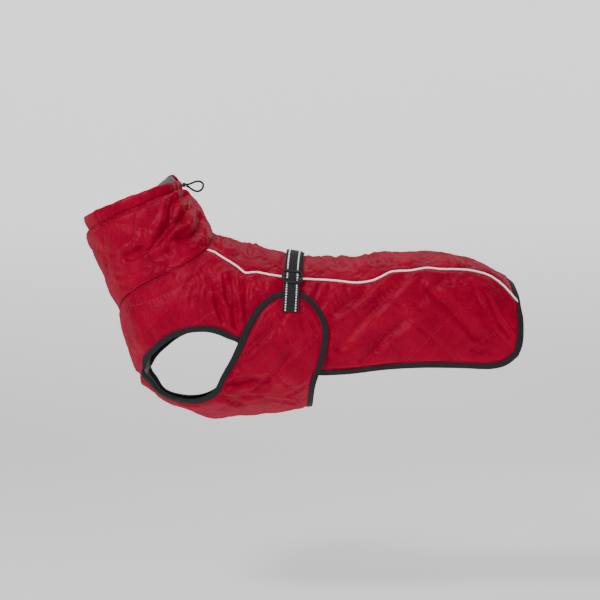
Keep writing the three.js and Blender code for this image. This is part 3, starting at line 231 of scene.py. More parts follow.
# The cord's route from the bead, and the collar facing's depth under the form by ring
LOOP_ROUTE = [
    (0.1, -1.8, 0.4), (4, -2, 0.6), (9, -2, 2.2), (14, -1.8, 4.4), (19, -1, 5.6), (24, -0.4, 4.8),
    (27.4, 0, 1.6), (27.6, 0.4, -3), (25, 0.8, -7.6), (20, 1.2, -10.2), (14.5, 1.6, -9.6), (9, 1.9, -6.6),
    (4, 2, -3), (0.5, 1.8, -1.6),
]
LINING_LEVELS = [(20.5, -0.5), (21.375, -0.5), (22.25, -0.5), (23.125, -0.6), (24, -0.6), (24.9, -1)]

# Half girth that the webbing's shares go by, deepening of the creases, and steps of the sums
HALF_GIRTH = 370.0
PRESSED, PRESSED_HARD = 1.4, 1.5
SMALL = 0.02
CHUNK = 6000
STEPS = 64
ANGLES = np.linspace(0, np.pi, STEPS + 1)

# Camera and the sweep of pale paper, in metres
CAMERA_SPOT, LENS, SENSOR = (0.088, -2.5, -0.0846), 93.75, 36
SWEEP_WIDTH, SWEEP_LENGTH, SWEEP_LEVEL, SWEEP_BEND = 16, 12.0, 7.0, 1.5
SWEEP_FRONT, SWEEP_HEIGHT = -5, -0.58


# The coat's form


def mix(a, b, share):
    return a + (b - a) * share


def smooth(value):
    share = np.clip(value, 0, 1)
    return share * share * (3 - 2 * share)


def ring_rows(station):
    """Rings between the rows of the table, carried on straight past its ends."""
    last = len(RINGS) - 1
    low = np.clip(np.floor(station).astype(int), 0, last - 1)
    t = (station - low)[:, None]
    b, c = RINGS[low], RINGS[low + 1]
    a = np.where((low > 0)[:, None], RINGS[np.maximum(low - 1, 0)], 2 * b - c)
    d = np.where((low + 2 <= last)[:, None], RINGS[np.minimum(low + 2, last)], 2 * c - b)
    inside = 0.5 * (2 * b + (c - a) * t + (2 * a - 5 * b + 4 * c - d) * t**2 + (3 * b - a - 3 * c + d) * t**3)
    return np.where((t >= 0) & (t <= 1), inside, mix(b, c, t))


def ring_point(rows, angle):
    """Points of rings at angles from the spine, on the left side."""
    spine_x, spine_z, throat_x, throat_z, half, full, bow = np.moveaxis(rows, -1, 0)
    length = np.hypot(throat_x - spine_x, throat_z - spine_z)
    along_x, along_z = (throat_x - spine_x) / length, (throat_z - spine_z) / length
    upper = angle <= np.pi / 2
    power = 2 / np.where(upper, TOP_FULL, full)
    rise = np.abs(np.cos(angle)) ** power / 2
    down = length * np.where(upper, 0.5 - rise, 0.5 + rise)
    bend = bow * (np.sin(2 * angle) + 0.3 * np.sin(angle))
    sideways = half * np.abs(np.sin(angle)) ** power
    x = spine_x + along_x * down - along_z * bend
    z = spine_z + along_z * down + along_x * bend
    return np.stack([x, -sideways, z], -1)


def form_chunk(places):
    station, share = places[:, 0], places[:, 1]
    turned = np.where(share > 1, share - 2, np.where(share < -1, share + 2, share))
    side = np.where(turned < 0, -1.0, 1.0)
    rows = ring_rows(station)
    ring = ring_point(rows[:, None, :], ANGLES[None, :])
    steps = np.linalg.norm(np.diff(ring, axis=1), axis=-1)
    lengths = np.concatenate([np.zeros((len(station), 1)), np.cumsum(steps, axis=1)], axis=1)
    girth = np.abs(turned) * lengths[:, -1]
    step = (lengths[:, 1:STEPS] < girth[:, None]).sum(axis=1)
    every = np.arange(len(station))
    part = (girth - lengths[every, step]) / (lengths[every, step + 1] - lengths[every, step])
    point = ring_point(rows, (step + part) * np.pi / STEPS)
    point[:, 1] *= side
    return point, girth * side


def form_point(places):
    """Points of the outer form and their girth from the spine, for places of (station, share)."""
    places = np.asarray(places, float)
    flat = places.reshape(-1, 2)
    parts = [form_chunk(flat[i:i + CHUNK]) for i in range(0, len(flat), CHUNK)]
    points = np.concatenate([part[0] for part in parts]).reshape(places.shape[:-1] + (3,))
    girths = np.concatenate([part[1] for part in parts]).reshape(places.shape[:-1])
    return points, girths


def base(places):
    return form_point(places)[0]


def form_normal(places):
    places = np.asarray(places, float)
    ahead = base(places + [SMALL, 0]) - base(places - [SMALL, 0])
    around = base(places + [0, SMALL / 2]) - base(places - [0, SMALL / 2])
    normal = np.cross(ahead, around)
    return normal / np.linalg.norm(normal, axis=-1, keepdims=True)


def lifted(places, lift):
    """Points at a height over the inner face of the coat."""
    height = np.broadcast_to(np.asarray(lift, float) - SKIN, np.shape(places)[:-1])
    return base(places) + form_normal(places) * height[..., None]


def find_middle(x, share):
    low, high = -2.0, RIM
    for _ in range(50):
        middle = (low + high) / 2
        if base([[middle, share]])[0][0] > x:
            low = middle
        else:
            high = middle
    return np.array([low, share])


def find_place(row, start):
    """Place on the left side whose outer face has the row's x and its height or sideways place."""
    axis = 1 if len(row) > 2 else 2
    if axis == 1 and row[1] == 0:
        return find_middle(row[0], 1.0 if start[1] > 0.5 else 0.0)
    place = np.array(start, float)
    for _ in range(40):
        points = base(place + np.array([[0, 0], [1e-4, 0], [0, 1e-5]]))
        miss = points[:, [0, axis]] - np.array(row[:2], float)
        if np.hypot(*miss[0]) < 1e-5:
            break
        slope = np.stack([(miss[1] - miss[0]) / 1e-4, (miss[2] - miss[0]) / 1e-5], axis=1)
        move = -np.linalg.solve(slope, miss[0])
        damp = max(1, abs(move[0]) / 0.6, abs(move[1]) / 0.08)
        place = place + move / damp
        place[1] = np.clip(place[1], 0.002, 0.998)
    return place


def find_line(rows, start):
    places, guess = [], start
    for row in rows:
        guess = find_place(row, guess)
        places.append(guess)
    return np.array(places)


def lengths_along(points):
    """Length along a row of points up to each of them."""
    return np.concatenate([[0], np.cumsum(np.linalg.norm(np.diff(points, axis=0), axis=1))])


def read_along(goals, marks, rows):
    """Rows read at the goals by their marks."""
    return np.stack([np.interp(goals, marks, column) for column in rows.T], -1)


class Line:
    """Smooth line of places, read by a share of its length."""

    def __init__(self, places):
        self.knots = np.array(places) * [1, 8]
        self.steps = 12 * (len(places) - 1)
        points = base(self.raw(np.linspace(0, 1, self.steps + 1)))
        self.marks = lengths_along(points)
        self.length = self.marks[-1]

    def raw(self, t):
        return catmull(self.knots, t) / [1, 8]

    def at(self, share):
        goal = np.clip(share, 0, 1) * self.length
        return self.raw(np.interp(goal, self.marks, np.linspace(0, 1, self.steps + 1)))

    def share_at_x(self, x):
        shares = np.linspace(0, 1, 2001)
        return float(np.interp(x, base(self.at(shares))[:, 0], shares))

    def samples(self, count):
        return self.at(np.linspace(0, 1, count + 1))


def catmull(knots, t):
    """Centripetal Catmull-Rom curve through knots at shares t."""
    t = np.atleast_1d(t)
    count = len(knots)
    padded = np.concatenate([[2 * knots[0] - knots[1]], knots, [2 * knots[-1] - knots[-2]]])
    spot = np.clip(t, 0, 1) * (count - 1)
    low = np.clip(np.floor(spot).astype(int), 0, count - 2)
    w = (spot - low)[:, None]
    p0, p1, p2, p3 = (padded[low + k] for k in range(4))
    gaps = [np.sqrt(np.linalg.norm(b - a, axis=1, keepdims=True)) for a, b in ((p0, p1), (p1, p2), (p2, p3))]
    d1 = np.maximum(gaps[1], 1e-4)
    d0 = np.where(gaps[0] < 1e-4, d1, gaps[0])
    d2 = np.where(gaps[2] < 1e-4, d1, gaps[2])
    m1 = ((p1 - p0) / d0 - (p2 - p0) / (d0 + d1) + (p2 - p1) / d1) * d1
    m2 = ((p2 - p1) / d1 - (p3 - p1) / (d1 + d2) + (p3 - p2) / d2) * d1
    return p1 + m1 * w + (-3 * p1 + 3 * p2 - 2 * m1 - m2) * w**2 + (2 * p1 - 2 * p2 + m1 + m2) * w**3


def finer(places, factor, corners=()):
    """More places between those of a row, smooth but for its corners."""
    places = np.asarray(places, float)
    ends = [0, *corners, len(places) - 1]
    parts = []
    for low, high in zip(ends[:-1], ends[1:]):
        knots = places[low:high + 1] * [1, 8]
        part = catmull(knots, np.linspace(0, 1, (high - low) * factor + 1)) / [1, 8]
        parts.append(part if not parts else part[1:])
    return np.concatenate(parts)


def mirrored(places):
    return np.asarray(places) * [1, -1]


def mirrored_under(places):
    return np.asarray(places) * [1, -1] + [0, 2]


def shifted(places, move):
    """Places moved along the surface by vectors in millimetres."""
    here = base(places)
    ahead = (base(places + [SMALL, 0]) - here) / SMALL
    around = (base(places + [0, SMALL / 10]) - here) / (SMALL / 10)
    a, b, c = (ahead * ahead).sum(-1), (ahead * around).sum(-1), (around * around).sum(-1)
    p, q = (ahead * move).sum(-1), (around * move).sum(-1)
    area = a * c - b * b
    return places + np.stack([(c * p - b * q) / area, (a * q - b * p) / area], -1)


def edge_vectors(places):
    """Unit vectors along a row of places and square to it on the surface."""
    points = base(places)
    along = np.concatenate([points[1:], points[-1:]]) - np.concatenate([points[:1], points[:-1]])
    across = np.cross(form_normal(places), along)
    return along, across / np.linalg.norm(across, axis=1, keepdims=True)


def inset_edge(places, turn):
    return shifted(places, edge_vectors(places)[1] * turn * BINDING_WIDTH)


def drawn_back(places, side):
    return shifted(np.asarray(places), edge_vectors(places)[1] * side * (GAP / 2 + 0.02))


def patch(top, bottom, front, back):
    """Grid of places between four edges."""
    u = np.linspace(0, 1, len(top))[:, None, None]
    v = np.linspace(0, 1, len(front))[None, :, None]
    ruled = mix(top[:, None], bottom[:, None], v) + mix(front[None], back[None], u)
    return ruled - mix(mix(front[0], back[0], u), mix(front[-1], back[-1], u), v)


def chain_distance(points, chain):
    """Distance from points to a chain of points."""
    best = np.full(points.shape[:-1], np.inf)
    for start, end in zip(chain[:-1], chain[1:]):
        along = end - start
        span = max(along @ along, 1e-9)
        t = np.clip(((points - start) @ along) / span, 0, 1)
        near = np.linalg.norm(points - (start + t[..., None] * along), axis=-1)
        best = np.minimum(best, near)
    return best


def crease_chains(table):
    chains = []
    for path, width, depth in table:
        first = path[0]
        high = len(first) == 2 and first[0] < -60 and first[1] > -55
        start = (20 if high else 10 - first[0] / 60, 0.1 if len(first) > 2 else 0.4)
        chains.append((base(finer(find_line(path, start), 4)), width, depth))
    return chains


def crease_depth(points, creases, ridge):
    """Troughs along the creases with softly raised sides, the far side's a little back and shallower."""
    far = points * [1, -1, 1] - [FAR_SIDE_SHIFT, 0, 0]
    depth = np.zeros(points.shape[:-1])
    for chain, width, deep in creases:
        for spot, share in ((points, 1.0), (far, FAR_SIDE_DEPTH)):
            close = np.abs(spot - chain.mean(axis=0)).max(axis=-1) < 150
            if not close.any():
                continue
            away = chain_distance(spot[close], chain) / width
            trough = 0.65 * np.exp(-away**2) + 0.45 * np.exp(-((away / 0.45) ** 2))
            depth[close] += share * deep * (trough - ridge * np.exp(-((away - 1.7) / 0.8) ** 2))
    return depth


def quilt_puff(along, around, phases):
    rising = np.abs(np.sin(np.pi * ((along + around) / DIAMOND - phases[0])))
    falling = np.abs(np.sin(np.pi * ((along - around) / DIAMOND - phases[1])))
    return PUFF * (rising * falling) ** 0.55


def crumple(u, v, seed, size):
    """Narrow uneven valleys between broad swells over a surface, from 0 to 1 deep."""
    random = np.random.default_rng(seed)
    total, weight = 0.0, 0.0
    for octave in range(2):
        for _ in range(5):
            angle, phase, other = random.uniform(0, 2 * np.pi, 3)
            k = 2 * np.pi * 2**octave / (size * random.uniform(0.75, 1.5))
            a = u * math.cos(angle) + v * math.sin(angle)
            b = v * math.cos(angle) - u * math.sin(angle)
            bend = 1.6 * np.sin(k * 0.41 * b + other) + 0.8 * np.sin(k * 0.23 * a + 2 * other)
            wave = np.sin(k * a + phase + bend)
            share = 0.5**octave
            total = total + share * (1 - np.abs(wave)) ** 2.5
            weight += share
    return total / weight


# The lines of the left side
PIPING = Line(np.concatenate([[[NECK, 0.236]], find_line(PIPING_LINE, (NECK - 1, 0.2))]))
ARMHOLE_PLACES = find_line(ARMHOLE_LINE, (14, 0.8))
ARMHOLE = Line(ARMHOLE_PLACES)
UNDER_WING = Line(find_line(UNDER_WING_LINE, (10, 0.55)))
HEM = Line(find_line(HEM_LINE, (7.7, 0.7)))
REAR = Line(find_line(REAR_LINE, (0.8, 0.26)))
REAR_TOP = Line(find_line(REAR_TOP_LINE, (1, 0.05)))
STEM = Line(find_line(STEM_LINE, (14, 0.83)))
WING_FRONT = Line(find_line(WING_FRONT_LINE, (11, 0.75)))
WING_TOP = Line(find_line(WING_TOP_LINE, (9.3, 0.33)))
WING_REAR = Line(find_line(WING_REAR_LINE, (8.3, 0.34)))


def station_length(station, share):
    ends = base(np.array([[station + SMALL, share], [station - SMALL, share]]))
    return float(np.linalg.norm(ends[0] - ends[1])) / (2 * SMALL)


CHEST_RING, CHEST_SHARE = ARMHOLE_PLACES[0]
CHEST_INSET = CHEST_SHARE + BINDING_WIDTH / form_point([[CHEST_RING, 1.0]])[1][0]
THROAT_END = CHEST_RING + BINDING_WIDTH / station_length(CHEST_RING, 1.0)
COAT_CHAINS = crease_chains(COAT_CREASES)
FINE_COAT_CHAINS = crease_chains(FINE_COAT_CREASES)
BELLY_CHAINS = crease_chains(BELLY_CREASES)
FINE_BELLY_CHAINS = crease_chains(FINE_BELLY_CREASES)

LOWER_MARKS = np.array([*ARMHOLE_LINE, *UNDER_WING_LINE[1:], *HEM_LINE[1:7]], float)
WING_PLACES = np.concatenate([WING_FRONT.samples(16), WING_TOP.samples(6), WING_REAR.samples(16)])
WING_OUTLINE = base(WING_PLACES)[:, [0, 2]]


def belly_lift(places):
    points = base(places)
    lower = np.interp(points[..., 0], LOWER_MARKS[:, 0], LOWER_MARKS[:, 1])
    return WING_LIFT * (1 - smooth((lower - points[..., 2] - 8) / 36))


def coat_lift(places):
    return np.zeros(np.shape(places)[:-1])


def wing_share(points):
    """1 under a wing, fading to 0 outside its edge."""
    flat = points[..., [0, 2]].reshape(-1, 2)
    nearest = np.full(len(flat), np.inf)
    inside = np.zeros(len(flat), bool)
    for a, b in zip(WING_OUTLINE, np.roll(WING_OUTLINE, 1, axis=0)):
        nearest = np.minimum(nearest, np.hypot(flat[:, 0] - a[0], flat[:, 1] - a[1]))
        crosses = (a[1] > flat[:, 1]) != (b[1] > flat[:, 1])
        if a[1] != b[1]:
            inside ^= crosses & (flat[:, 0] < (b[0] - a[0]) * (flat[:, 1] - a[1]) / (b[1] - a[1]) + a[0])
    return np.where(inside, 1, 1 - smooth((nearest - 5) / 9)).reshape(points.shape[:-1])


def webbing_share(points, girth):
    share = np.abs(girth) / HALF_GIRTH
    away = np.abs(points[..., 0] - (STRAP_X - STRAP_LEAN * share))
    wide = np.where((share > 0.2) & (share < 0.3), 19, 15)
    return (1 - smooth((away - wide) / 7)) * (1 - smooth((share - 0.41) / 0.06))


def coat_relief(places, edge, flat):
    """Height of the quilting, creases and fine crumple of the coat's panels over the wall, and its UV."""
    points, girth = form_point(places)
    free = (1 - 0.8 * wing_share(points)) * (1 - 0.85 * webbing_share(points, girth))
    rise = smooth(edge / (6 + 2.5 * np.sin(points[..., 0] * 0.11 + girth * 0.07))) * flat
    crease = smooth(edge / 5) * flat
    relief = (quilt_puff(points[..., 0], girth, COAT_QUILT) + 0.6) * free * rise
    relief -= PRESSED * crease_depth(points, COAT_CHAINS, 0.55) * crease
    relief -= PRESSED * crease_depth(points, FINE_COAT_CHAINS, 0.7) * crease * free
    relief -= (crumple(points[..., 0], girth, 11, 64) - 0.2) * 2.6 * free * crease
    relief -= (crumple(points[..., 0] * 0.8, girth, 12, 26) - 0.2) * 0.8 * free * crease
    return relief, np.stack([points[..., 0], girth], -1)


def belly_relief(places, edge, flat):
    points, girth = form_point(places)
    girth = np.abs(girth)
    free = 1 - 0.85 * webbing_share(points, girth)
    rise = smooth(edge / 6) * flat
    relief = (quilt_puff(points[..., 0], girth, BELLY_QUILT) + 0.6) * free * rise
    relief -= PRESSED * crease_depth(points, BELLY_CHAINS, 0.55) * rise
    relief -= PRESSED_HARD * crease_depth(points, FINE_BELLY_CHAINS, 0.7) * rise
    relief -= (crumple(points[..., 0], girth, 21, 60) - 0.2) * 2.2 * free * rise
    relief -= (crumple(points[..., 0], girth, 22, 24) - 0.2) * 0.8 * free * rise
    return relief, np.stack([points[..., 0], girth], -1)


def collar_relief(places, edge, flat):
    points, girth = form_point(places)
    rise = smooth(edge / (4.5 + 1.5 * np.sin(girth * 0.13)))
    crease = smooth(edge / 5)
    along = (places[..., 0] - NECK) / (STITCH - NECK) * mix(*COLLAR_LENGTHS, np.abs(places[..., 1]))
    below = (STITCH - places[..., 0]) * 12
    rise = np.maximum(rise, smooth(1 - below / 14) * 0.9)
    relief = (quilt_puff(along, girth, COLLAR_QUILT) + 1) * rise
    relief -= PRESSED_HARD * crease_depth(points, COAT_CHAINS, 0.6) * crease
    relief -= PRESSED * crease_depth(points, FINE_COAT_CHAINS, 0.7) * crease
    relief -= (crumple(along, girth, 31, 66) - 0.2) * 2.8 * crease
    relief -= (crumple(along, girth * 0.8, 32, 28) - 0.2) * 0.8 * crease
    relief += 1.9 * gathers(girth) * np.exp(-((below - 2) / 7) ** 2) * smooth(below / 1.5 + 0.3)
    return relief, np.stack([along, girth], -1)


def gathers(girth):
    """Uneven puckers that the casing's stitching draws up."""
    wave = np.sin(girth * 0.78 + 1.9 * np.sin(girth * 0.091) + 1.1 * np.sin(girth * 0.037 + 2))
    other = np.sin(girth * 0.47 + 1.4 * np.sin(girth * 0.063 + 1) + 4)
    return (0.65 * wave + 0.45 * other) * (0.75 + 0.35 * np.sin(girth * 0.052 + 0.6))


# Edges of the panels


def side_columns():
    upper, lower, start = [], [], 0.0
    for index, (edge, columns, piping_x, closer) in enumerate(STRETCHES):
        end = 1 - BINDING_WIDTH / PIPING.length if edge == "hem" else PIPING.share_at_x(piping_x)
        for step in range(1 if index else 0, columns + 1):
            share = step / columns
            upper.append(PIPING.at(mix(start, end, share**closer))[0])
            lower.append(lower_place(edge, share))
        start = end
    return np.array(upper), np.array(lower)


def lower_place(edge, share):
    if edge == "front":
        return np.array([mix(NECK, THROAT_END, share), 1.0])
    if edge == "chest":
        inset = mix(1, CHEST_INSET, share * (1 + 2 / STEM_COLUMNS)) if share < 1 else CHEST_SHARE
        return np.array([CHEST_RING, inset])
    return {"armhole": ARMHOLE, "under": UNDER_WING, "hem": HEM}[edge].at(share)[0]


UPPER, LOWER = side_columns()
COLUMNS = len(UPPER) - 1
FRONT_COLUMNS = STRETCHES[0][1]
CHEST_COLUMNS = FRONT_COLUMNS + STRETCHES[1][1]
COLLAR_SIDE = np.array([[NECK, mix(UPPER[0][1], 1, row / SIDE_ROWS)] for row in range(SIDE_ROWS + 1)])
COLLAR_TOP = np.array([[NECK, UPPER[0][1] * cell / (BACK_CELLS / 2)] for cell in range(BACK_CELLS // 2 + 1)])
SIDE_REAR = REAR.samples(SIDE_ROWS)[::-1][1:]
SIDE_EDGE = np.concatenate([[[CHEST_RING, 1.0]], LOWER[FRONT_COLUMNS + 1:], SIDE_REAR])
SIDE_INSET = inset_edge(SIDE_EDGE, 1)
SIDE_INSET[0] = LOWER[FRONT_COLUMNS]
SIDE_INSET[-1] = UPPER[COLUMNS]
TOP_EDGE = np.concatenate([PIPING.at(1), REAR_TOP.samples(BACK_CELLS // 2)[::-1][1:]])
TOP_INSET = inset_edge(TOP_EDGE, 1)
TOP_INSET[0] = UPPER[COLUMNS]
TOP_INSET[-1, 1] = 0
CHEST_CORNER = CHEST_COLUMNS - FRONT_COLUMNS


def strip_grid(edge, inner, rows):
    """Grid of places between a bound edge and the line a binding's width inside it."""
    shares = np.linspace(0, 1, rows + 1)[None, :, None]
    return mix(edge[:, None], inner[:, None], shares)


def side_grids():
    fine, rows = 5, 7
    whole = drawn_back(np.concatenate([UPPER, PIPING.at(1)]), -1)
    upper, seam_end = whole[:-1], whole[-1]
    throat = drawn_back(LOWER[:FRONT_COLUMNS + 1], 1)
    count = COLUMNS - FRONT_COLUMNS
    lower = np.concatenate([throat, SIDE_INSET[1:count + 1]])
    front = drawn_back(COLLAR_SIDE, 1)
    front[0] = upper[0] = (front[0][0], upper[0][1])
    front[-1] = lower[0] = (front[-1][0], lower[0][1])
    back = SIDE_INSET[count:][::-1].copy()
    back[0] = upper[-1]
    corners = (FRONT_COLUMNS, CHEST_COLUMNS)
    main = patch(finer(upper, fine), finer(lower, fine, corners), finer(front, rows), finer(back, rows))
    edge = np.concatenate([[(SIDE_EDGE[0][0], throat[-1][1])], SIDE_EDGE[1:-1], [seam_end]])
    inner = np.concatenate([[throat[-1]], SIDE_INSET[1:-1], [upper[-1]]])
    low_edge, low_inner = (finer(row[:count + 1], fine, (CHEST_CORNER,)) for row in (edge, inner))
    low = strip_grid(low_edge, low_inner, 4)
    high = strip_grid(finer(edge[count:], rows), finer(inner[count:], rows), 4)
    return [main, low, high], [finer(edge, 2, (CHEST_CORNER,))]


def across_back(half, end):
    whole = np.concatenate([half[1:][::-1], [end]])
    return np.concatenate([whole[1:][::-1], mirrored(whole)])


def back_grids():
    fine, rows = 5, 8
    whole = drawn_back(np.concatenate([UPPER, PIPING.at(1)]), 1)
    left, seam_end = whole[:-1], whole[-1]
    half = drawn_back(COLLAR_TOP, 1)
    half[0, 1] = 0
    left[0] = half[-1] = (half[-1][0], left[0][1])
    front = np.concatenate([half[1:][::-1], mirrored(half)])
    inner = across_back(TOP_INSET, left[-1])
    edge = across_back(TOP_EDGE, seam_end)
    left_fine = finer(left, fine)
    inner_fine = finer(inner, rows)
    main = patch(left_fine, mirrored(left_fine), finer(front, rows), inner_fine)
    return [main, strip_grid(finer(edge, rows), inner_fine, 4)], [finer(edge, 2)]


def collar_grids():
    left = np.concatenate([COLLAR_TOP, COLLAR_SIDE[1:]])
    shares = np.concatenate([left[1:][::-1], mirrored(left)])[:, 1]
    last = len(shares) - 1
    shares = np.interp(np.linspace(0, last, last * 10 + 1), np.arange(last + 1), shares)
    grid = np.zeros((len(shares), 57, 2))
    for index, share in enumerate(shares):
        start = NECK + (GAP / 2 + 0.02) / station_length(NECK + 0.1, share)
        end = STITCH - GAP / 2 / station_length(STITCH - 0.1, share)
        grid[index, :, 0] = np.linspace(start, end, 57)
        grid[index, :, 1] = share
    return [grid], []


CHEST_GAP = (GAP + 0.04) / station_length(CHEST_RING, CHEST_SHARE)


def belly_edges():
    """Bound edge of the belly panel from the left chest corner round to the right one, and its inset."""
    half = np.concatenate([
        [[CHEST_RING - CHEST_GAP, CHEST_SHARE]], STEM.samples(STEM_ROWS)[1:-1],
        WING_FRONT.samples(WING_COLUMNS)[:-1], WING_TOP.samples(BELLY_ROWS)[:-1],
        WING_REAR.samples(WING_COLUMNS + STEM_COLUMNS // 2),
    ])
    edge = np.concatenate([half, mirrored_under(half[:-1][::-1])])
    inner = inset_edge(edge, -1)[:len(half)]
    inner[0] = (CHEST_RING - CHEST_GAP, CHEST_INSET)
    inner[-1, 1] = 1
    return edge, np.concatenate([inner, mirrored_under(inner[:-1][::-1])])


def belly_grids():
    fine = 6
    edge, inner = belly_edges()
    corner = inner[STEM_ROWS]
    shares = np.linspace(0, 1, STEM_COLUMNS + 1)
    sideways = np.abs(2 * shares - 1)
    junction = np.stack([corner[0] + 0.25 * (1 - sideways**2), mix(corner[1], 2 - corner[1], shares)], -1)
    chest_shares = mix(CHEST_INSET, 2 - CHEST_INSET, shares)
    chest = np.stack([np.full(STEM_COLUMNS + 1, CHEST_RING - CHEST_GAP), chest_shares], -1)
    stem_edge = finer(inner[:STEM_ROWS + 1], fine)
    junction_fine = finer(junction, fine)
    stem = patch(finer(chest, fine), junction_fine, stem_edge, mirrored_under(stem_edge))
    wing_end = STEM_ROWS + WING_COLUMNS
    front = inner[STEM_ROWS:wing_end + 1]
    top = finer(inner[wing_end:wing_end + BELLY_ROWS + 1], fine)
    rear = inner[wing_end + BELLY_ROWS:len(inner) - wing_end - BELLY_ROWS]
    front_fine = finer(front, fine)
    whole = np.concatenate([front_fine[::-1], junction_fine[1:], mirrored_under(front_fine[1:])])
    wings = patch(whole, finer(rear, fine), top, mirrored_under(top))
    corners = (STEM_ROWS, wing_end, wing_end + BELLY_ROWS)
    ends = (*corners, *[len(edge) - 1 - corner for corner in corners[::-1]])
    strip = strip_grid(finer(edge, fine, ends), finer(inner, fine, ends), 4)
    return [stem, wings, strip], [finer(edge, 2, (STEM_ROWS, len(edge) - 1 - STEM_ROWS))]


def coat_strip():
    """Bound edge from the left armhole round the hem and the rear to the right armhole, and its inset."""
    def whole(side, top):
        half = np.concatenate([side, top[1:]])
        return np.concatenate([half, mirrored(half[:-1][::-1])])
    return whole(SIDE_EDGE[CHEST_CORNER:], TOP_EDGE), whole(SIDE_INSET[CHEST_CORNER:], TOP_INSET)


# Meshes


def new_object(name, bm):
    mesh = bpy.data.meshes.new(name)
    bm.to_mesh(mesh)
    bm.free()
    obj = bpy.data.objects.new(name, mesh)
    bpy.context.scene.collection.objects.link(obj)
    return obj


def add_grid(bm, points, uv, outward=None):
    """Adds a grid moved to the points, in millimetres, with its UV in metres."""
    columns, rows = points.shape[0] - 1, points.shape[1] - 1
    made = bmesh.ops.create_grid(bm, x_segments=columns, y_segments=rows, size=0.5)["verts"]
    layer = bm.loops.layers.uv.verify()
    ordered = np.moveaxis(points, 0, 1).reshape(-1, 3) / 1000
    flat_uv = np.moveaxis(uv, 0, 1).reshape(-1, 2) / 1000
    spots = {}
    for vert, point, spot in zip(made, ordered, flat_uv):
        vert.co = point
        spots[vert] = spot
    faces = {face for vert in made for face in vert.link_faces}
    for face in faces:
        for loop in face.loops:
            loop[layer].uv = spots[loop.vert]
    if outward is not None:
        column, row = columns // 2, rows // 2
        here = points[column, row]
        across = np.cross(points[column + 1, row] - here, points[column, row + 1] - here)
        if across @ outward < 0:
            bmesh.ops.reverse_faces(bm, faces=list(faces))
    return faces


def weld(bm):
    bmesh.ops.remove_doubles(bm, verts=bm.verts, dist=3e-6)


def smooth_faces(bm):
    for face in bm.faces:
        face.smooth = True


def panel_mesh(name, grids, bound, lift, relief):
    """Quilted panel: grids of places lifted by the relief, plain near seams and under bindings."""
    chains = [base(chain) for chain in bound]
    rims = [base(side) for side in outer_sides(grids)]
    bm = bmesh.new()
    for grid in grids:
        points = base(grid)
        edge = np.min([chain_distance(points, rim[::2]) for rim in rims], axis=0)
        bounds = np.min([chain_distance(points, chain) for chain in chains], axis=0) if chains else edge + 99
        flat = smooth((bounds - BINDING_WIDTH - 0.6) / 5)
        height, uv = relief(grid, edge, flat)
        height = np.maximum(THINNEST, WALL + height)
        normal = form_normal(grid)
        outer = points + normal * (lift(grid) + height - SKIN)[..., None]
        middle = tuple(size // 2 for size in grid.shape[:2])
        add_grid(bm, outer, uv, normal[middle])
    weld(bm)
    smooth_faces(bm)
    return new_object(name, bm)


def outer_sides(grids):
    """The sides of the grids that aren't shared with another one."""
    sides = [side for grid in grids for side in (grid[0], grid[-1], grid[:, 0], grid[:, -1])]
    keys = [tuple(np.round(side[len(side) // 3], 4)) for side in sides]
    inner = [np.concatenate([grid[0], grid[-1], grid[:, 0], grid[:, -1]]) for grid in grids]
    kept = []
    for index, side in enumerate(sides):
        home = index // 4
        spot = side[len(side) // 3]
        shared = any(np.abs(inner[k] - spot).sum(axis=1).min() < 2e-3 for k in range(len(grids)) if k != home)
        closed = keys.count(keys[index]) > 1
        if not shared and not closed:
            kept.append(side)
    return kept


def shell(obj, thickness=SHELL, offset=-1.0, inside=False):
    modifier = obj.modifiers.new("Cloth thickness", "SOLIDIFY")
    modifier.thickness = thickness / 1000
    modifier.offset = offset
    modifier.use_even_offset = False
    if inside:
        modifier.material_offset = 1
    return obj


def tube_points(centres, radius, sides):
    """Points of a round tube along centres, with its UV: length and turn."""
    tangents = np.gradient(centres, axis=0)
    tangents /= np.linalg.norm(tangents, axis=1, keepdims=True)
    normal = np.cross(tangents[0], [0.13, 0.21, 0.97])
    frames = []
    for tangent in tangents:
        normal = normal - tangent * (normal @ tangent)
        normal = normal / np.linalg.norm(normal)
        frames.append((normal, np.cross(tangent, normal)))
    turns = np.linspace(0, 2 * np.pi, sides + 1)
    first, second = np.moveaxis(np.array(frames), 1, 0)[:, :, None]
    length = lengths_along(centres)
    reach = np.broadcast_to(np.asarray(radius, float), (len(centres),))[:, None, None]
    ring = first * np.cos(turns)[None, :, None] + second * np.sin(turns)[None, :, None]
    points = centres[:, None] + ring * reach
    uv = np.stack(np.broadcast_arrays(length[:, None], turns[None, :] * 1000), -1)
    return points, uv


def tube_object(name, centres, radius, sides):
    points, uv = tube_points(centres, radius, sides)
    bm = bmesh.new()
    add_grid(bm, points, uv)
    weld(bm)
    bmesh.ops.holes_fill(bm, edges=[edge for edge in bm.edges if edge.is_boundary], sides=sides)
    bmesh.ops.recalc_face_normals(bm, faces=bm.faces)
    smooth_faces(bm)
    return new_object(name, bm)


def length_steps(points, pitch):
    """Centres spaced evenly along a line of points, with the directions there."""
    marks = lengths_along(points)
    count = max(1, int(marks[-1] / pitch))
    goals = (np.arange(count) + 0.5) * marks[-1] / count
    spots = read_along(goals, marks, points)
    ahead = read_along(goals + 0.4, marks, points)
    behind = read_along(goals - 0.4, marks, points)
    along = ahead - behind
    return spots, along / np.linalg.norm(along, axis=1, keepdims=True), goals


def basis_matrix(spot, along, out, size):
    along = Vector(along).normalized()
    out = Vector(out)
    out = (out - along * out.dot(along)).normalized()
    side = out.cross(along)
    turn = Matrix((along, side, out)).transposed().to_4x4()
    return Matrix.Translation(Vector(spot) / 1000) @ turn @ Matrix.Diagonal((*[s / 1000 for s in size], 1))


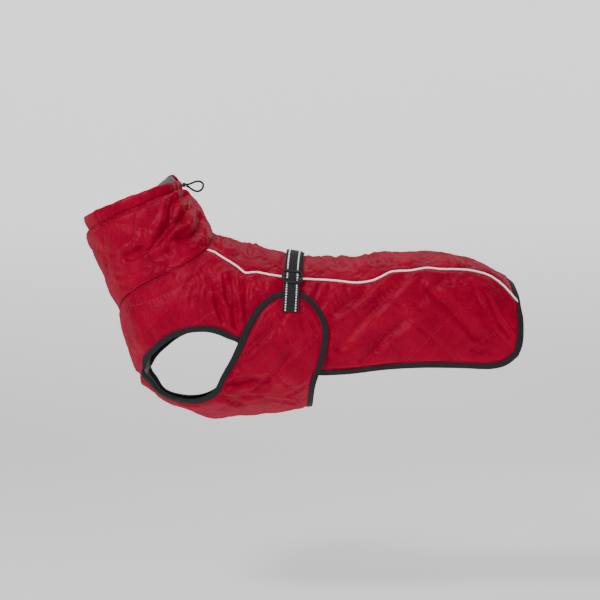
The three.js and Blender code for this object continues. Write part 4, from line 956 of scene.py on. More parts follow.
def stitches(name, lines, pitch, size):
    """Sewn stitches along lines of (points, outward directions), as small rounded bars."""
    bm = bmesh.new()
    for points, outs in lines:
        spots, along, goals = length_steps(points, pitch)
        marks = lengths_along(points)
        turned = read_along(goals, marks, outs)
        for spot, way, out in zip(spots, along, turned):
            place = basis_matrix(spot, way, out, size)
            bmesh.ops.create_uvsphere(bm, u_segments=5, v_segments=4, radius=1, matrix=place)
    smooth_faces(bm)
    return new_object(name, bm)


# Materials


def group(name, inputs, outputs):
    tree = bpy.data.node_groups.new(name, "ShaderNodeTree")
    for label, kind, value in inputs:
        socket = tree.interface.new_socket(label, in_out="INPUT", socket_type=kind)
        if value is not None:
            socket.default_value = value
    for label, kind in outputs:
        tree.interface.new_socket(label, in_out="OUTPUT", socket_type=kind)
    return tree, tree.nodes.new("NodeGroupInput"), tree.nodes.new("NodeGroupOutput")


def math_node(tree, operation, a, b=None, clamp=False):
    node = tree.nodes.new("ShaderNodeMath")
    node.operation = operation
    node.use_clamp = clamp
    for socket, value in zip(node.inputs, (a, b)):
        if value is None:
            continue
        if hasattr(value, "is_output"):
            tree.links.new(value, socket)
        else:
            socket.default_value = value
    return node.outputs[0]


def weave_group():
    """Woven threads from UV in metres: a height and a mask of the crossings."""
    vector, value = "NodeSocketVector", "NodeSocketFloat"
    tree, start, end = group(
        "woven_threads",
        [("UV", vector, None), ("Across pitch", value, 0.0006), ("Along pitch", value, 0.0006)],
        [("Height", value), ("Thread", value)],
    )
    split = tree.nodes.new("ShaderNodeSeparateXYZ")
    tree.links.new(start.outputs["UV"], split.inputs[0])
    waves = []
    for axis, pitch in ((0, "Across pitch"), (1, "Along pitch")):
        turns = math_node(tree, "DIVIDE", split.outputs[axis], start.outputs[pitch])
        waves.append(math_node(tree, "SINE", math_node(tree, "MULTIPLY", turns, 2 * math.pi)))
    cross = math_node(tree, "MULTIPLY", waves[0], waves[1])
    total = math_node(tree, "ADD", waves[0], waves[1])
    for wave, share, label in ((total, 0.25, "Height"), (cross, 0.5, "Thread")):
        part = math_node(tree, "MULTIPLY", wave, share)
        tree.links.new(math_node(tree, "ADD", part, 0.5), end.inputs[label])
    return tree


def uneven_group():
    """Uneven tone of dyed cloth at three scales, from object coordinates."""
    vector, value = "NodeSocketVector", "NodeSocketFloat"
    tree, start, end = group(
        "uneven_tone",
        [("Coordinates", vector, None), ("Scale", value, 30.0)],
        [("Broad", value), ("Fine", value)],
    )
    for label, factor, detail in (("Broad", 1.0, 3.0), ("Fine", 9.0, 4.0)):
        noise = tree.nodes.new("ShaderNodeTexNoise")
        noise.inputs["Detail"].default_value = detail
        tree.links.new(start.outputs["Coordinates"], noise.inputs["Vector"])
        tree.links.new(math_node(tree, "MULTIPLY", start.outputs["Scale"], factor), noise.inputs["Scale"])
        tree.links.new(noise.outputs[0], end.inputs[label])
    return tree


def stitch_group():
    """Masks of quilting stitches along two families of slanting lines, from UV in metres: the stitched
    thread, painted light as a painted highlight on the ridges, wider grooves for painted shade, and puckers.
    """
    vector, value = "NodeSocketVector", "NodeSocketFloat"
    tree, start, end = group(
        "quilt_stitches",
        [
            ("UV", vector, None), ("Diamond", value, DIAMOND / 1000), ("Rising", value, 0.0),
            ("Falling", value, 0.0),
        ],
        [("Thread", value), ("Groove shade", value), ("Pucker", value)],
    )
    bend = tree.nodes.new("ShaderNodeTexNoise")
    bend.inputs["Scale"].default_value = 38.0
    tree.links.new(start.outputs["UV"], bend.inputs["Vector"])
    stray = math_node(tree, "MULTIPLY", bend.outputs[0], 16.0)
    split = tree.nodes.new("ShaderNodeSeparateXYZ")
    tree.links.new(start.outputs["UV"], split.inputs[0])
    total = math_node(tree, "ADD", split.outputs[0], split.outputs[1])
    less = math_node(tree, "SUBTRACT", split.outputs[0], split.outputs[1])
    threads, groove_shades, puckers = [], [], []
    for here, other, phase in ((total, less, "Rising"), (less, total, "Falling")):
        diamonds = math_node(tree, "DIVIDE", here, start.outputs["Diamond"])
        turns = math_node(tree, "SUBTRACT", diamonds, start.outputs[phase])
        sine = math_node(tree, "SINE", math_node(tree, "MULTIPLY", turns, math.pi))
        wave = math_node(tree, "ABSOLUTE", sine)
        line = math_node(tree, "SUBTRACT", 1.0, math_node(tree, "MULTIPLY", wave, 26.0), clamp=True)
        dash = math_node(tree, "SINE", math_node(tree, "MULTIPLY", other, 2 * math.pi / 0.0048))
        shown = math_node(tree, "GREATER_THAN", dash, -0.35)
        threads.append(math_node(tree, "MULTIPLY", line, shown))
        # Wider band round each stitch line, used only for painted shade in the quilting grooves
        groove_shades.append(math_node(tree, "SUBTRACT", 1.0, math_node(tree, "MULTIPLY", wave, 12.0), clamp=True))
        near = math_node(tree, "SUBTRACT", 1.0, math_node(tree, "MULTIPLY", wave, 1.9), clamp=True)
        ripple = math_node(tree, "MULTIPLY", other, 2 * math.pi / 0.013)
        gather = math_node(tree, "SINE", math_node(tree, "ADD", ripple, stray))
        puckers.append(math_node(tree, "MULTIPLY", near, gather))
    tree.links.new(math_node(tree, "MAXIMUM", *threads), end.inputs["Thread"])
    tree.links.new(math_node(tree, "MAXIMUM", *groove_shades), end.inputs["Groove shade"])
    tree.links.new(math_node(tree, "ADD", *puckers), end.inputs["Pucker"])
    return tree


class Material:
    """Small helper round a material's node tree."""

    def __init__(self, name, roughness, sheen=0.0, sheen_tint=(1, 1, 1), specular=0.5, shine=(1, 1, 1)):
        self.material = bpy.data.materials.new(name)
        self.material.use_nodes = True
        self.tree = self.material.node_tree
        self.shader = self.tree.nodes["Principled BSDF"]
        self.set("Roughness", roughness)
        self.set("Sheen Weight", sheen)
        self.set("Sheen Roughness", 0.45)
        self.set("Sheen Tint", (*sheen_tint, 1))
        self.set("Specular IOR Level", specular)
        self.set("Specular Tint", (*shine, 1))
        coordinates = self.tree.nodes.new("ShaderNodeTexCoord")
        self.object, self.uv = coordinates.outputs["Object"], coordinates.outputs["UV"]

    def set(self, socket, value):
        self.shader.inputs[socket].default_value = value

    def link(self, output, socket):
        self.tree.links.new(output, self.shader.inputs[socket])

    def place(self, tree, **values):
        node = self.tree.nodes.new("ShaderNodeGroup")
        node.node_tree = tree
        for name, value in values.items():
            socket = node.inputs[name.replace("_", " ")]
            if hasattr(value, "is_output"):
                self.tree.links.new(value, socket)
            else:
                socket.default_value = value
        return node

    def ramp(self, value, stops):
        node = self.tree.nodes.new("ShaderNodeValToRGB")
        elements = node.color_ramp.elements
        for index, (spot, color) in enumerate(stops):
            element = elements[index] if index < 2 else elements.new(spot)
            element.position = spot
            element.color = (*color, 1)
        self.tree.links.new(value, node.inputs[0])
        return node.outputs[0]

    def blend(self, share, a, b, mode="MIX"):
        node = self.tree.nodes.new("ShaderNodeMix")
        node.data_type = "RGBA"
        node.blend_type = mode
        for socket, value in ((node.inputs[0], share), (node.inputs[6], a), (node.inputs[7], b)):
            if hasattr(value, "is_output"):
                self.tree.links.new(value, socket)
            else:
                socket.default_value = value
        return node.outputs[2]

    def math(self, operation, a, b=None, clamp=False):
        return math_node(self.tree, operation, a, b, clamp)

    def bump(self, height, strength, distance, before=None):
        node = self.tree.nodes.new("ShaderNodeBump")
        node.inputs["Strength"].default_value = strength
        node.inputs["Distance"].default_value = distance
        self.tree.links.new(height, node.inputs["Height"])
        if before is not None:
            self.tree.links.new(before, node.inputs["Normal"])
        self.link(node.outputs[0], "Normal")
        return node.outputs[0]


def shade(color, factor):
    return tuple(min(1.0, channel * factor) for channel in color)


def shell_material(name, color, groups, phases=None):
    """Crimson woven shell: shiny threads, uneven tone, crinkles and quilting stitches, with painted shade in
    the quilting grooves and a painted highlight on the stitch lines.
    """
    m = Material(name, 0.42, sheen=0.02, sheen_tint=(1.0, 0.25, 0.4), specular=0.32, shine=(1.0, 0.2, 0.34))
    tone = m.place(groups["tone"], Coordinates=m.object, Scale=26.0)
    weave = m.place(groups["weave"], UV=m.uv, Across_pitch=0.0009, Along_pitch=0.0008)
    hue = m.ramp(tone.outputs["Broad"], [(0.3, shade(color, 0.84)), (0.52, color), (0.72, shade(color, 1.2))])
    fine = m.ramp(tone.outputs["Fine"], [(0.3, (0.93, 0.93, 0.93)), (0.7, (1.07, 1.07, 1.07))])
    cloth = m.blend(1.0, hue, fine, "MULTIPLY")
    threads = m.ramp(weave.outputs["Thread"], [(0.2, (0.9, 0.9, 0.9)), (0.8, (1.06, 1.06, 1.06))])
    cloth = m.blend(1.0, cloth, threads, "MULTIPLY")
    crinkle = m.tree.nodes.new("ShaderNodeTexNoise")
    crinkle.inputs["Scale"].default_value = 75.0
    crinkle.inputs["Detail"].default_value = 4.0
    crinkle.inputs["Roughness"].default_value = 0.55
    crinkle.inputs["Distortion"].default_value = 0.7
    m.tree.links.new(m.object, crinkle.inputs["Vector"])
    normal = m.bump(crinkle.outputs[0], 0.45, 0.0018)
    if phases:
        quilt = m.place(groups["stitch"], UV=m.uv, Rising=phases[0], Falling=phases[1])
        # Painted shade: the quilting grooves darkened towards 0.6 of the shell colour
        cloth = m.blend(m.math("MULTIPLY", quilt.outputs["Groove shade"], 0.2), cloth, (*shade(color, 0.6), 1))
        # Stitch lines painted much lighter than the thread material: partly the real thread, partly a painted
        # highlight along the stitched ridges
        cloth = m.blend(m.math("MULTIPLY", quilt.outputs["Thread"], 0.55), cloth, (0.62, 0.03, 0.075, 1))
        normal = m.bump(quilt.outputs["Pucker"], 0.3, 0.001, normal)
        normal = m.bump(quilt.outputs["Thread"], 0.6, 0.0005, normal)
    m.bump(weave.outputs["Height"], 0.35, 0.00018, normal)
    m.link(cloth, "Base Color")
    facing = m.tree.nodes.new("ShaderNodeLayerWeight")
    facing.inputs[0].default_value = 0.5
    grazing = m.math("MULTIPLY", m.math("POWER", facing.outputs["Facing"], 2.5), 0.7)
    matt = m.math("ADD", m.math("MULTIPLY", tone.outputs["Fine"], 0.22), 0.31)
    m.link(m.math("ADD", matt, grazing, clamp=True), "Roughness")
    return m.material


def fleece_material(name, color, groups):
    """Short grey fleece: matt curled pile in uneven tufts, with painted shade between the tufts."""
    m = Material(name, 0.95, sheen=0.5, sheen_tint=(0.9, 0.92, 0.95), specular=0.2)
    tone = m.place(groups["tone"], Coordinates=m.object, Scale=40.0)
    tufts = m.tree.nodes.new("ShaderNodeTexVoronoi")
    tufts.inputs["Scale"].default_value = 420.0
    tufts.inputs["Randomness"].default_value = 1.0
    m.tree.links.new(m.object, tufts.inputs["Vector"])
    hue = m.ramp(tone.outputs["Broad"], [(0.3, shade(color, 0.8)), (0.7, shade(color, 1.25))])
    # Painted shade: paler at the tuft centres and darker between the tufts, following the same cells as the
    # bump
    pile = m.ramp(tufts.outputs["Distance"], [(0.0, (1.12, 1.12, 1.12)), (0.9, (0.72, 0.72, 0.72))])
    m.link(m.blend(1.0, hue, pile, "MULTIPLY"), "Base Color")
    normal = m.bump(tone.outputs["Fine"], 0.5, 0.0012)
    m.bump(m.math("SUBTRACT", 1.0, tufts.outputs["Distance"]), 0.7, 0.0009, normal)
    return m.material


def tape_material(name, color, groups, across, along, roughness=0.78):
    """Black woven tape or webbing: ribs from its UV, painted paler on top of the threads as a painted
    highlight and darker between them as painted shade, with uneven wear.
    """
    m = Material(name, roughness, specular=0.02, shine=(0.3, 0.32, 0.36))
    weave = m.place(groups["weave"], UV=m.uv, Across_pitch=across, Along_pitch=along)
    tone = m.place(groups["tone"], Coordinates=m.object, Scale=60.0)
    # Painted highlight and shade: the colour follows the weave height that the bump uses, paler on the ribs
    # and darker between them
    ribs = m.ramp(weave.outputs["Height"], [(0.15, shade(color, 0.5)), (0.85, shade(color, 1.9))])
    wear = m.ramp(tone.outputs["Broad"], [(0.35, (0.85, 0.85, 0.85)), (0.75, (1.3, 1.3, 1.3))])
    m.link(m.blend(1.0, ribs, wear, "MULTIPLY"), "Base Color")
    m.bump(weave.outputs["Height"], 0.5, 0.00018)
    m.link(m.math("ADD", m.math("MULTIPLY", tone.outputs["Fine"], 0.2), roughness - 0.1), "Roughness")
    return m.material


def reflective_material(name, color, groups, pitch):
    """White reflective trim: a fine glassy grain over woven threads, darker between the threads as painted
    shade, slightly soiled, and lit by a painted glow from emission.
    """
    m = Material(name, 0.34, specular=0.6)
    # Painted glow: the trim emits light of its own, though it is no lamp
    m.set("Emission Color", (1, 1, 1, 1))
    m.set("Emission Strength", 0.35)
    weave = m.place(groups["weave"], UV=m.uv, Across_pitch=pitch, Along_pitch=pitch)
    tone = m.place(groups["tone"], Coordinates=m.object, Scale=110.0)
    hue = m.ramp(tone.outputs["Broad"], [(0.3, shade(color, 0.86)), (0.6, color)])
    # Painted shade: darker where the weave height is low, between the threads, following the bump
    grain = m.ramp(weave.outputs["Height"], [(0.1, (0.86, 0.86, 0.87)), (0.8, (1.05, 1.05, 1.05))])
    m.link(m.blend(1.0, hue, grain, "MULTIPLY"), "Base Color")
    m.bump(weave.outputs["Height"], 0.35, 0.0002)
    m.link(m.math("ADD", m.math("MULTIPLY", tone.outputs["Fine"], 0.25), 0.25), "Roughness")
    return m.material


def plastic_material(name, color, groups):
    """Moulded black plastic: faint grain, rubbed paler and smoother in patches."""
    m = Material(name, 0.36, specular=0.5, shine=(0.5, 0.52, 0.56))
    tone = m.place(groups["tone"], Coordinates=m.object, Scale=90.0)
    grain = m.tree.nodes.new("ShaderNodeTexNoise")
    grain.inputs["Scale"].default_value = 1800.0
    m.tree.links.new(m.object, grain.inputs["Vector"])
    m.link(m.ramp(tone.outputs["Broad"], [(0.3, shade(color, 0.8)), (0.75, shade(color, 1.8))]), "Base Color")
    m.bump(grain.outputs[0], 0.3, 0.00012)
    m.link(m.math("ADD", m.math("MULTIPLY", tone.outputs["Fine"], 0.3), 0.22), "Roughness")
    return m.material


def cord_material(name, color, groups):
    """Round braided elastic: slanting strands that cross, from its UV, with a painted highlight on the
    strands and painted shade between them.
    """
    m = Material(name, 0.7, specular=0.2, shine=(0.3, 0.32, 0.36))
    split = m.tree.nodes.new("ShaderNodeSeparateXYZ")
    m.tree.links.new(m.uv, split.inputs[0])
    turns = m.math("MULTIPLY", split.outputs[1], 4.0)
    along = m.math("MULTIPLY", split.outputs[0], 2 * math.pi / 0.0032)
    left = m.math("SINE", m.math("ADD", along, turns))
    right = m.math("SINE", m.math("SUBTRACT", along, turns))
    strands = m.math("ADD", m.math("MULTIPLY", m.math("MULTIPLY", left, right), 0.5), 0.5)
    # Painted highlight and shade: the colour follows the strand height that the bump uses
    m.link(m.ramp(strands, [(0.1, shade(color, 0.5)), (0.9, shade(color, 2.4))]), "Base Color")
    m.bump(strands, 0.8, 0.0004)
    tone = m.place(groups["tone"], Coordinates=m.object, Scale=200.0)
    m.link(m.math("ADD", m.math("MULTIPLY", tone.outputs["Fine"], 0.2), 0.6), "Roughness")
    return m.material


def thread_material(name, color, groups):
    """Sewing thread with a faint shine and uneven tone."""
    m = Material(name, 0.5, specular=0.4)
    tone = m.place(groups["tone"], Coordinates=m.object, Scale=300.0)
    m.link(m.ramp(tone.outputs["Broad"], [(0.3, shade(color, 0.8)), (0.7, shade(color, 1.25))]), "Base Color")
    m.bump(tone.outputs["Fine"], 0.4, 0.0001)
    return m.material


def coat_material(key):
    """The named material, made with its groups when a piece first asks for it."""
    found = bpy.data.materials.get(key)
    if found:
        return found
    colors = bpy.context.scene.coat_colors
    makers = {"tone": uneven_group, "weave": weave_group, "stitch": stitch_group}
    names = {"tone": "uneven_tone", "weave": "woven_threads", "stitch": "quilt_stitches"}
    groups = {short: bpy.data.node_groups.get(names[short]) or maker() for short, maker in makers.items()}
    crimson, black = tuple(colors.shell), tuple(colors.trim)
    recipes = {
        "crimson_panels": lambda: shell_material(key, crimson, groups, COAT_QUILT),
        "crimson_belly": lambda: shell_material(key, crimson, groups, BELLY_QUILT),
        "crimson_collar": lambda: shell_material(key, crimson, groups, COLLAR_QUILT),
        "crimson_casing": lambda: shell_material(key, crimson, groups),
        "crimson_thread": lambda: thread_material(key, shade(crimson, 1.1), groups),
        "grey_fleece": lambda: fleece_material(key, tuple(colors.fleece), groups),
        "black_binding": lambda: tape_material(key, black, groups, 0.0011, 0.0024),
        "black_webbing": lambda: tape_material(key, black, groups, 0.0017, 0.0013),
        "black_thread": lambda: thread_material(key, shade(black, 1.6), groups),
        "white_piping": lambda: reflective_material(key, tuple(colors.reflective), groups, 0.0009),
        "white_dashes": lambda: reflective_material(key, tuple(colors.reflective), groups, 0.0006),
        "black_plastic": lambda: plastic_material(key, black, groups),
        "black_cord": lambda: cord_material(key, black, groups),
    }
    return recipes[key]()


def finish_piece(obj, slot, *materials, node=()):
    for material in materials:
        obj.data.materials.append(coat_material(material))
    if node:
        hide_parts(*node)
    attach(obj, ROOT)
    return obj


def lined_panel(obj, cover, node):
    """Finishes a panel with its cover outside, fleece inside and the cloth's thickness."""
    shell(finish_piece(obj, "crimson_shell", cover, "grey_fleece", node=(node,)), inside=True)


# Sizes and colours that a user would change


class CoatColors(bpy.types.PropertyGroup):
    shell: bpy.props.FloatVectorProperty(
        name="Shell", description="Colour of the quilted shell", subtype="COLOR", size=3, min=0, max=1,
        default=(0.34, 0.0006, 0.022))
    fleece: bpy.props.FloatVectorProperty(
        name="Fleece", description="Colour of the lining", subtype="COLOR", size=3, min=0, max=1,
        default=(0.2, 0.205, 0.215))
    trim: bpy.props.FloatVectorProperty(
        name="Trim", description="Colour of tapes, webbing, cord and slider", subtype="COLOR", size=3,
        min=0, max=1, default=(0.0024, 0.0026, 0.0031))
    reflective: bpy.props.FloatVectorProperty(
        name="Reflective", description="Colour of piping and dashes", subtype="COLOR", size=3, min=0, max=1,
        default=(0.92, 0.91, 0.91))


class CoatSizes(bpy.types.PropertyGroup):
    stitch_pitch: bpy.props.FloatProperty(
        name="Stitch pitch", description="Length of one stitch with its gap", subtype="DISTANCE",
        unit="LENGTH", default=0.0034, min=0.001, max=0.01)
    dash_pitch: bpy.props.FloatProperty(
        name="Dash pitch", description="Spacing of the reflective dashes on the webbing", subtype="DISTANCE",
        unit="LENGTH", default=0.0042, min=0.001, max=0.02)
    dash_width: bpy.props.FloatProperty(
        name="Dash width", description="Width of a reflective dash", subtype="DISTANCE", unit="LENGTH",
        default=0.002, min=0.0005, max=0.01)
    line_spacing: bpy.props.FloatProperty(
        name="Line spacing", description="Distance between the two reflective lines", subtype="DISTANCE",
        unit="LENGTH", default=0.0155, min=0.002, max=0.024)
    slider_edge: bpy.props.FloatProperty(
        name="Slider edge", description="Rounding of the slider's edges", subtype="DISTANCE", unit="LENGTH",
        default=0.0007, min=0.0001, max=0.0009)


# Operators, one for each piece or group of like pieces


class COAT_OT_stage(bpy.types.Operator):
    """Pale floor that sweeps up behind, soft studio lights and the camera"""

    bl_idname = "coat.stage"
    bl_label = "Stage"

    def execute(self, context):
        data = bpy.data.cameras.new("camera")
        data.sensor_width = SENSOR
        data.lens = LENS
        camera = bpy.data.objects.new("camera", data)
        camera.location = CAMERA_SPOT
        camera.rotation_euler = (math.pi / 2, 0, 0)
        context.scene.collection.objects.link(camera)
        context.scene.camera = camera
        bm = bmesh.new()
        made = bmesh.ops.create_grid(bm, x_segments=2, y_segments=60, size=0.5)["verts"]
        for vert in made:
            reach = (vert.co.y + 0.5) * SWEEP_LENGTH
            bend = min(max(reach - SWEEP_LEVEL, 0) / SWEEP_BEND, math.pi / 2)
            rest = max(reach - SWEEP_LEVEL - SWEEP_BEND * math.pi / 2, 0)
            back = SWEEP_FRONT + min(reach, SWEEP_LEVEL) + SWEEP_BEND * math.sin(bend)
            up = SWEEP_HEIGHT + SWEEP_BEND * (1 - math.cos(bend)) + rest
            vert.co = (vert.co.x * SWEEP_WIDTH, back, up)
        smooth_faces(bm)
        floor = new_object("studio_sweep", bm)
        m = Material("pale_paper", 0.9, specular=0.1)
        tone = m.tree.nodes.new("ShaderNodeTexNoise")
        tone.inputs["Scale"].default_value = 0.6
        m.tree.links.new(m.object, tone.inputs["Vector"])
        m.link(m.ramp(tone.outputs[0], [(0.3, (0.88, 0.88, 0.885)), (0.7, (0.92, 0.92, 0.92))]), "Base Color")
        split = m.tree.nodes.new("ShaderNodeSeparateXYZ")
        m.tree.links.new(m.object, split.inputs[0])
        height = m.math("MULTIPLY", m.math("ADD", split.outputs[2], 0.6), 1.2, clamp=True)
        m.link(m.ramp(height, [(0.0, (0.3, 0.3, 0.3)), (1.0, (1.0, 1.0, 1.0))]), "Emission Color")
        m.set("Emission Strength", 0.9)
        floor.data.materials.append(m.material)
        world = bpy.data.worlds.new("studio")
        world.use_nodes = True
        background = world.node_tree.nodes["Background"]
        background.inputs[0].default_value = (1, 1, 1, 1)
        background.inputs[1].default_value = 0.25
        context.scene.world = world
        self.lamp(context, "key", (-1.0, -1.6, 1.6), 0.6, 36)
        self.lamp(context, "front", (1.3, -2.4, 0.1), 0.9, 9)
        self.lamp(context, "top", (0.3, 0.6, 1.8), 0.8, 9)
        self.lamp(context, "rear", (1.6, 1.8, 0.9), 1.0, 8)
        return {"FINISHED"}

    def lamp(self, context, name, spot, size, power):
        data = bpy.data.lights.new(name, "AREA")
        data.shape = "DISK"
        data.size = size
        data.energy = power
        lamp = bpy.data.objects.new(name, data)
        lamp.location = spot
        lamp.rotation_euler = (Vector((0.1, 0, -0.1)) - Vector(spot)).to_track_quat("-Z", "Y").to_euler()
        context.scene.collection.objects.link(lamp)


class COAT_OT_drawcord(bpy.types.Operator):
    """Elastic cord loop at the nape and the bead that it comes out of"""

    bl_idname = "coat.drawcord"
    bl_label = "Drawcord"

    def execute(self, context):
        bead_spot = lifted(np.array([[BEAD_RING, 0.0]]), BEAD_LIFT)[0]
        start = np.array([bead_spot[0] + BEAD_LENGTH / 2 + GAP, 0, bead_spot[2]])
        route = catmull(start + np.array(LOOP_ROUTE), np.linspace(0, 1, 79))
        loop = tube_object("elastic_loop", route, CORD_RADIUS, 12)
        finish_piece(loop, "black_cord", "black_cord", node=("drawcord_loop",))
        bm = bmesh.new()
        ring = [bm.verts.new((x / 1000, radius / 1000, 0)) for radius, x in BEAD_SECTION]
        edges = [bm.edges.new((a, b)) for a, b in zip(ring, ring[1:] + ring[:1])]
        bmesh.ops.spin(
            bm, geom=ring + edges, cent=(0, 0, 0), axis=(1, 0, 0), angle=2 * math.pi, steps=28,
            use_merge=True)
        bmesh.ops.translate(bm, verts=bm.verts, vec=bead_spot / 1000)
        bmesh.ops.recalc_face_normals(bm, faces=bm.faces)
        smooth_faces(bm)
        bead = finish_piece(new_object("bead", bm), "black_plastic", "black_plastic", node=("cord_bead",))
        [tuple(point) for point in route / 1000]
        return {"FINISHED"}


class COAT_OT_panels(bpy.types.Operator):
    """Quilted back and side panels between collar, hem and armholes"""

    bl_idname = "coat.panels"
    bl_label = "Back and side panels"

    def execute(self, context):
        grids, bound = back_grids()
        back = panel_mesh("back_cloth", grids, bound, coat_lift, coat_relief)
        lined_panel(back, "crimson_panels", "back_panel")
        grids, bound = side_grids()
        for side, place in (("left", np.asarray), ("right", mirrored)):
            cut, bounds = [place(grid) for grid in grids], [place(chain) for chain in bound]
            piece = panel_mesh("side_cloth_" + side, cut, bounds, coat_lift, coat_relief)
            lined_panel(piece, "crimson_panels", "side_panel_" + side)
        return {"FINISHED"}


class COAT_OT_collar(bpy.types.Operator):
    """Quilted collar, its gathered casing and the fleece facing"""

    bl_idname = "coat.collar"
    bl_label = "Collar, casing and facing"

    def execute(self, context):
        grids, bound = collar_grids()
        collar = panel_mesh("collar_cloth", grids, bound, coat_lift, collar_relief)
        lined_panel(collar, "crimson_collar", "collar")
        self.casing()
        self.facing()
        return {"FINISHED"}

    def rise(self, share):
        away = np.where(share >= 0, 0, -share)
        return np.where(share >= 0, 0, FAR_RIM_RISE * smooth(away / 0.14) * (1 - smooth((away - 0.16) / 0.4)))

    def casing(self):
        around, section = 420, 22
        shares = 1 - 2 * np.linspace(0, 1, around + 1)
        girth = form_point(np.stack([np.full(around + 1, CASING_RING), shares], -1))[1]
        girth[-1] = girth[0]
        pucker = gathers(np.abs(girth) + np.where(girth < 0, 37, 0) * smooth(np.abs(girth) / 40))
        length = np.array([station_length(CASING_RING, share) for share in shares])
        pinch = 0.5 + 0.5 * np.clip(pucker, -1, 1)
        low = STITCH + (GAP + 0.5 * pinch) / length
        sway = 0.5 * np.sin(girth * 0.12) + 0.35 * np.sin(girth * 0.29 + 1)
        high = RIM + (self.rise(shares) + 0.2 + sway) / length
        turns = np.linspace(0, 2 * np.pi, section + 1)
        near_seam = (1 - np.cos(turns)) / 2
        points = np.zeros((around + 1, section + 1, 3))
        for k, turn in enumerate(turns):
            station = mix(low, high, (1 + math.cos(turn)) / 2)
            body = 0.62 + 0.38 * abs(math.sin(turn))
            swell = 0.35 * np.sin(girth * 0.17 + 2.4 * math.cos(turn)) + 0.3 * np.sin(girth * 0.31 + 1.3)
            depth = CASING_DEPTH * body + 1.5 * pucker * near_seam[k] ** 1.3 + swell
            if turn < np.pi:
                depth = depth * (1 - 0.5 * near_seam[k] ** 2)
            bulge = 0.9 * np.exp(-((girth / 8) ** 2)) * max(0, math.sin(turn))
            lift = CASING_DEPTH + 0.6 + depth * math.sin(turn) + bulge
            points[:, k] = lifted(np.stack([station, shares], -1), lift)
        points[-1] = points[0]
        uv = np.stack(np.broadcast_arrays(turns[None] * 5.0, girth[:, None]), -1)
        bm = bmesh.new()
        add_grid(bm, points, uv)
        weld(bm)
        bmesh.ops.recalc_face_normals(bm, faces=bm.faces)
        smooth_faces(bm)
        casing = new_object("casing_tunnel", bm)
        finish_piece(casing, "crimson_shell", "crimson_casing", node=("collar_casing",))
        places = np.stack([STITCH + 0.35 / length, shares], -1)
        line = lifted(places, WALL + 0.25 + 0.35 * pucker)
        pitch = bpy.context.scene.coat_sizes.stitch_pitch * 1000
        seam = stitches("casing_stitches", [(line, form_normal(places))], pitch, (1.2, 0.3, 0.3))
        finish_piece(seam, "crimson_shell", "crimson_thread")

    def facing(self):
        levels = np.array(LINING_LEVELS)
        stations = np.interp(np.linspace(0, 5, 41), np.arange(6), levels[:, 0])
        lifts = np.interp(np.linspace(0, 5, 41), np.arange(6), levels[:, 1]) - 0.5
        shares = 1 - 2 * np.linspace(0, 1, 241)
        places = np.zeros((241, 41, 2))
        lengths = np.array([station_length(CASING_RING, share) for share in shares])
        risen = self.rise(shares) / lengths
        places[..., 0] = stations[None] + risen[:, None] * smooth((stations[None] - 23.9) / 1.1)
        places[..., 1] = shares[:, None]
        points = lifted(places, lifts[None])
        points[-1] = points[0]
        girth = form_point(places)[1]
        bm = bmesh.new()
        outward = form_normal(places[120:121, 20])[0]
        add_grid(bm, points, np.stack(np.broadcast_arrays(places[..., 0] * 14, girth), -1), outward)
        weld(bm)
        smooth_faces(bm)
        facing = new_object("collar_facing", bm)
        finish_piece(facing, "grey_fleece", "grey_fleece", node=("collar_lining",))
        shell(facing, thickness=1.0, offset=0)


class COAT_OT_belly(bpy.types.Operator):
    """Chest and belly panel with its two wings"""

    bl_idname = "coat.belly"
    bl_label = "Belly panel"

    def execute(self, context):
        grids, bound = belly_grids()
        belly = panel_mesh("belly_cloth", grids, bound, belly_lift, belly_relief)
        lined_panel(belly, "crimson_belly", "belly_panel")
        return {"FINISHED"}


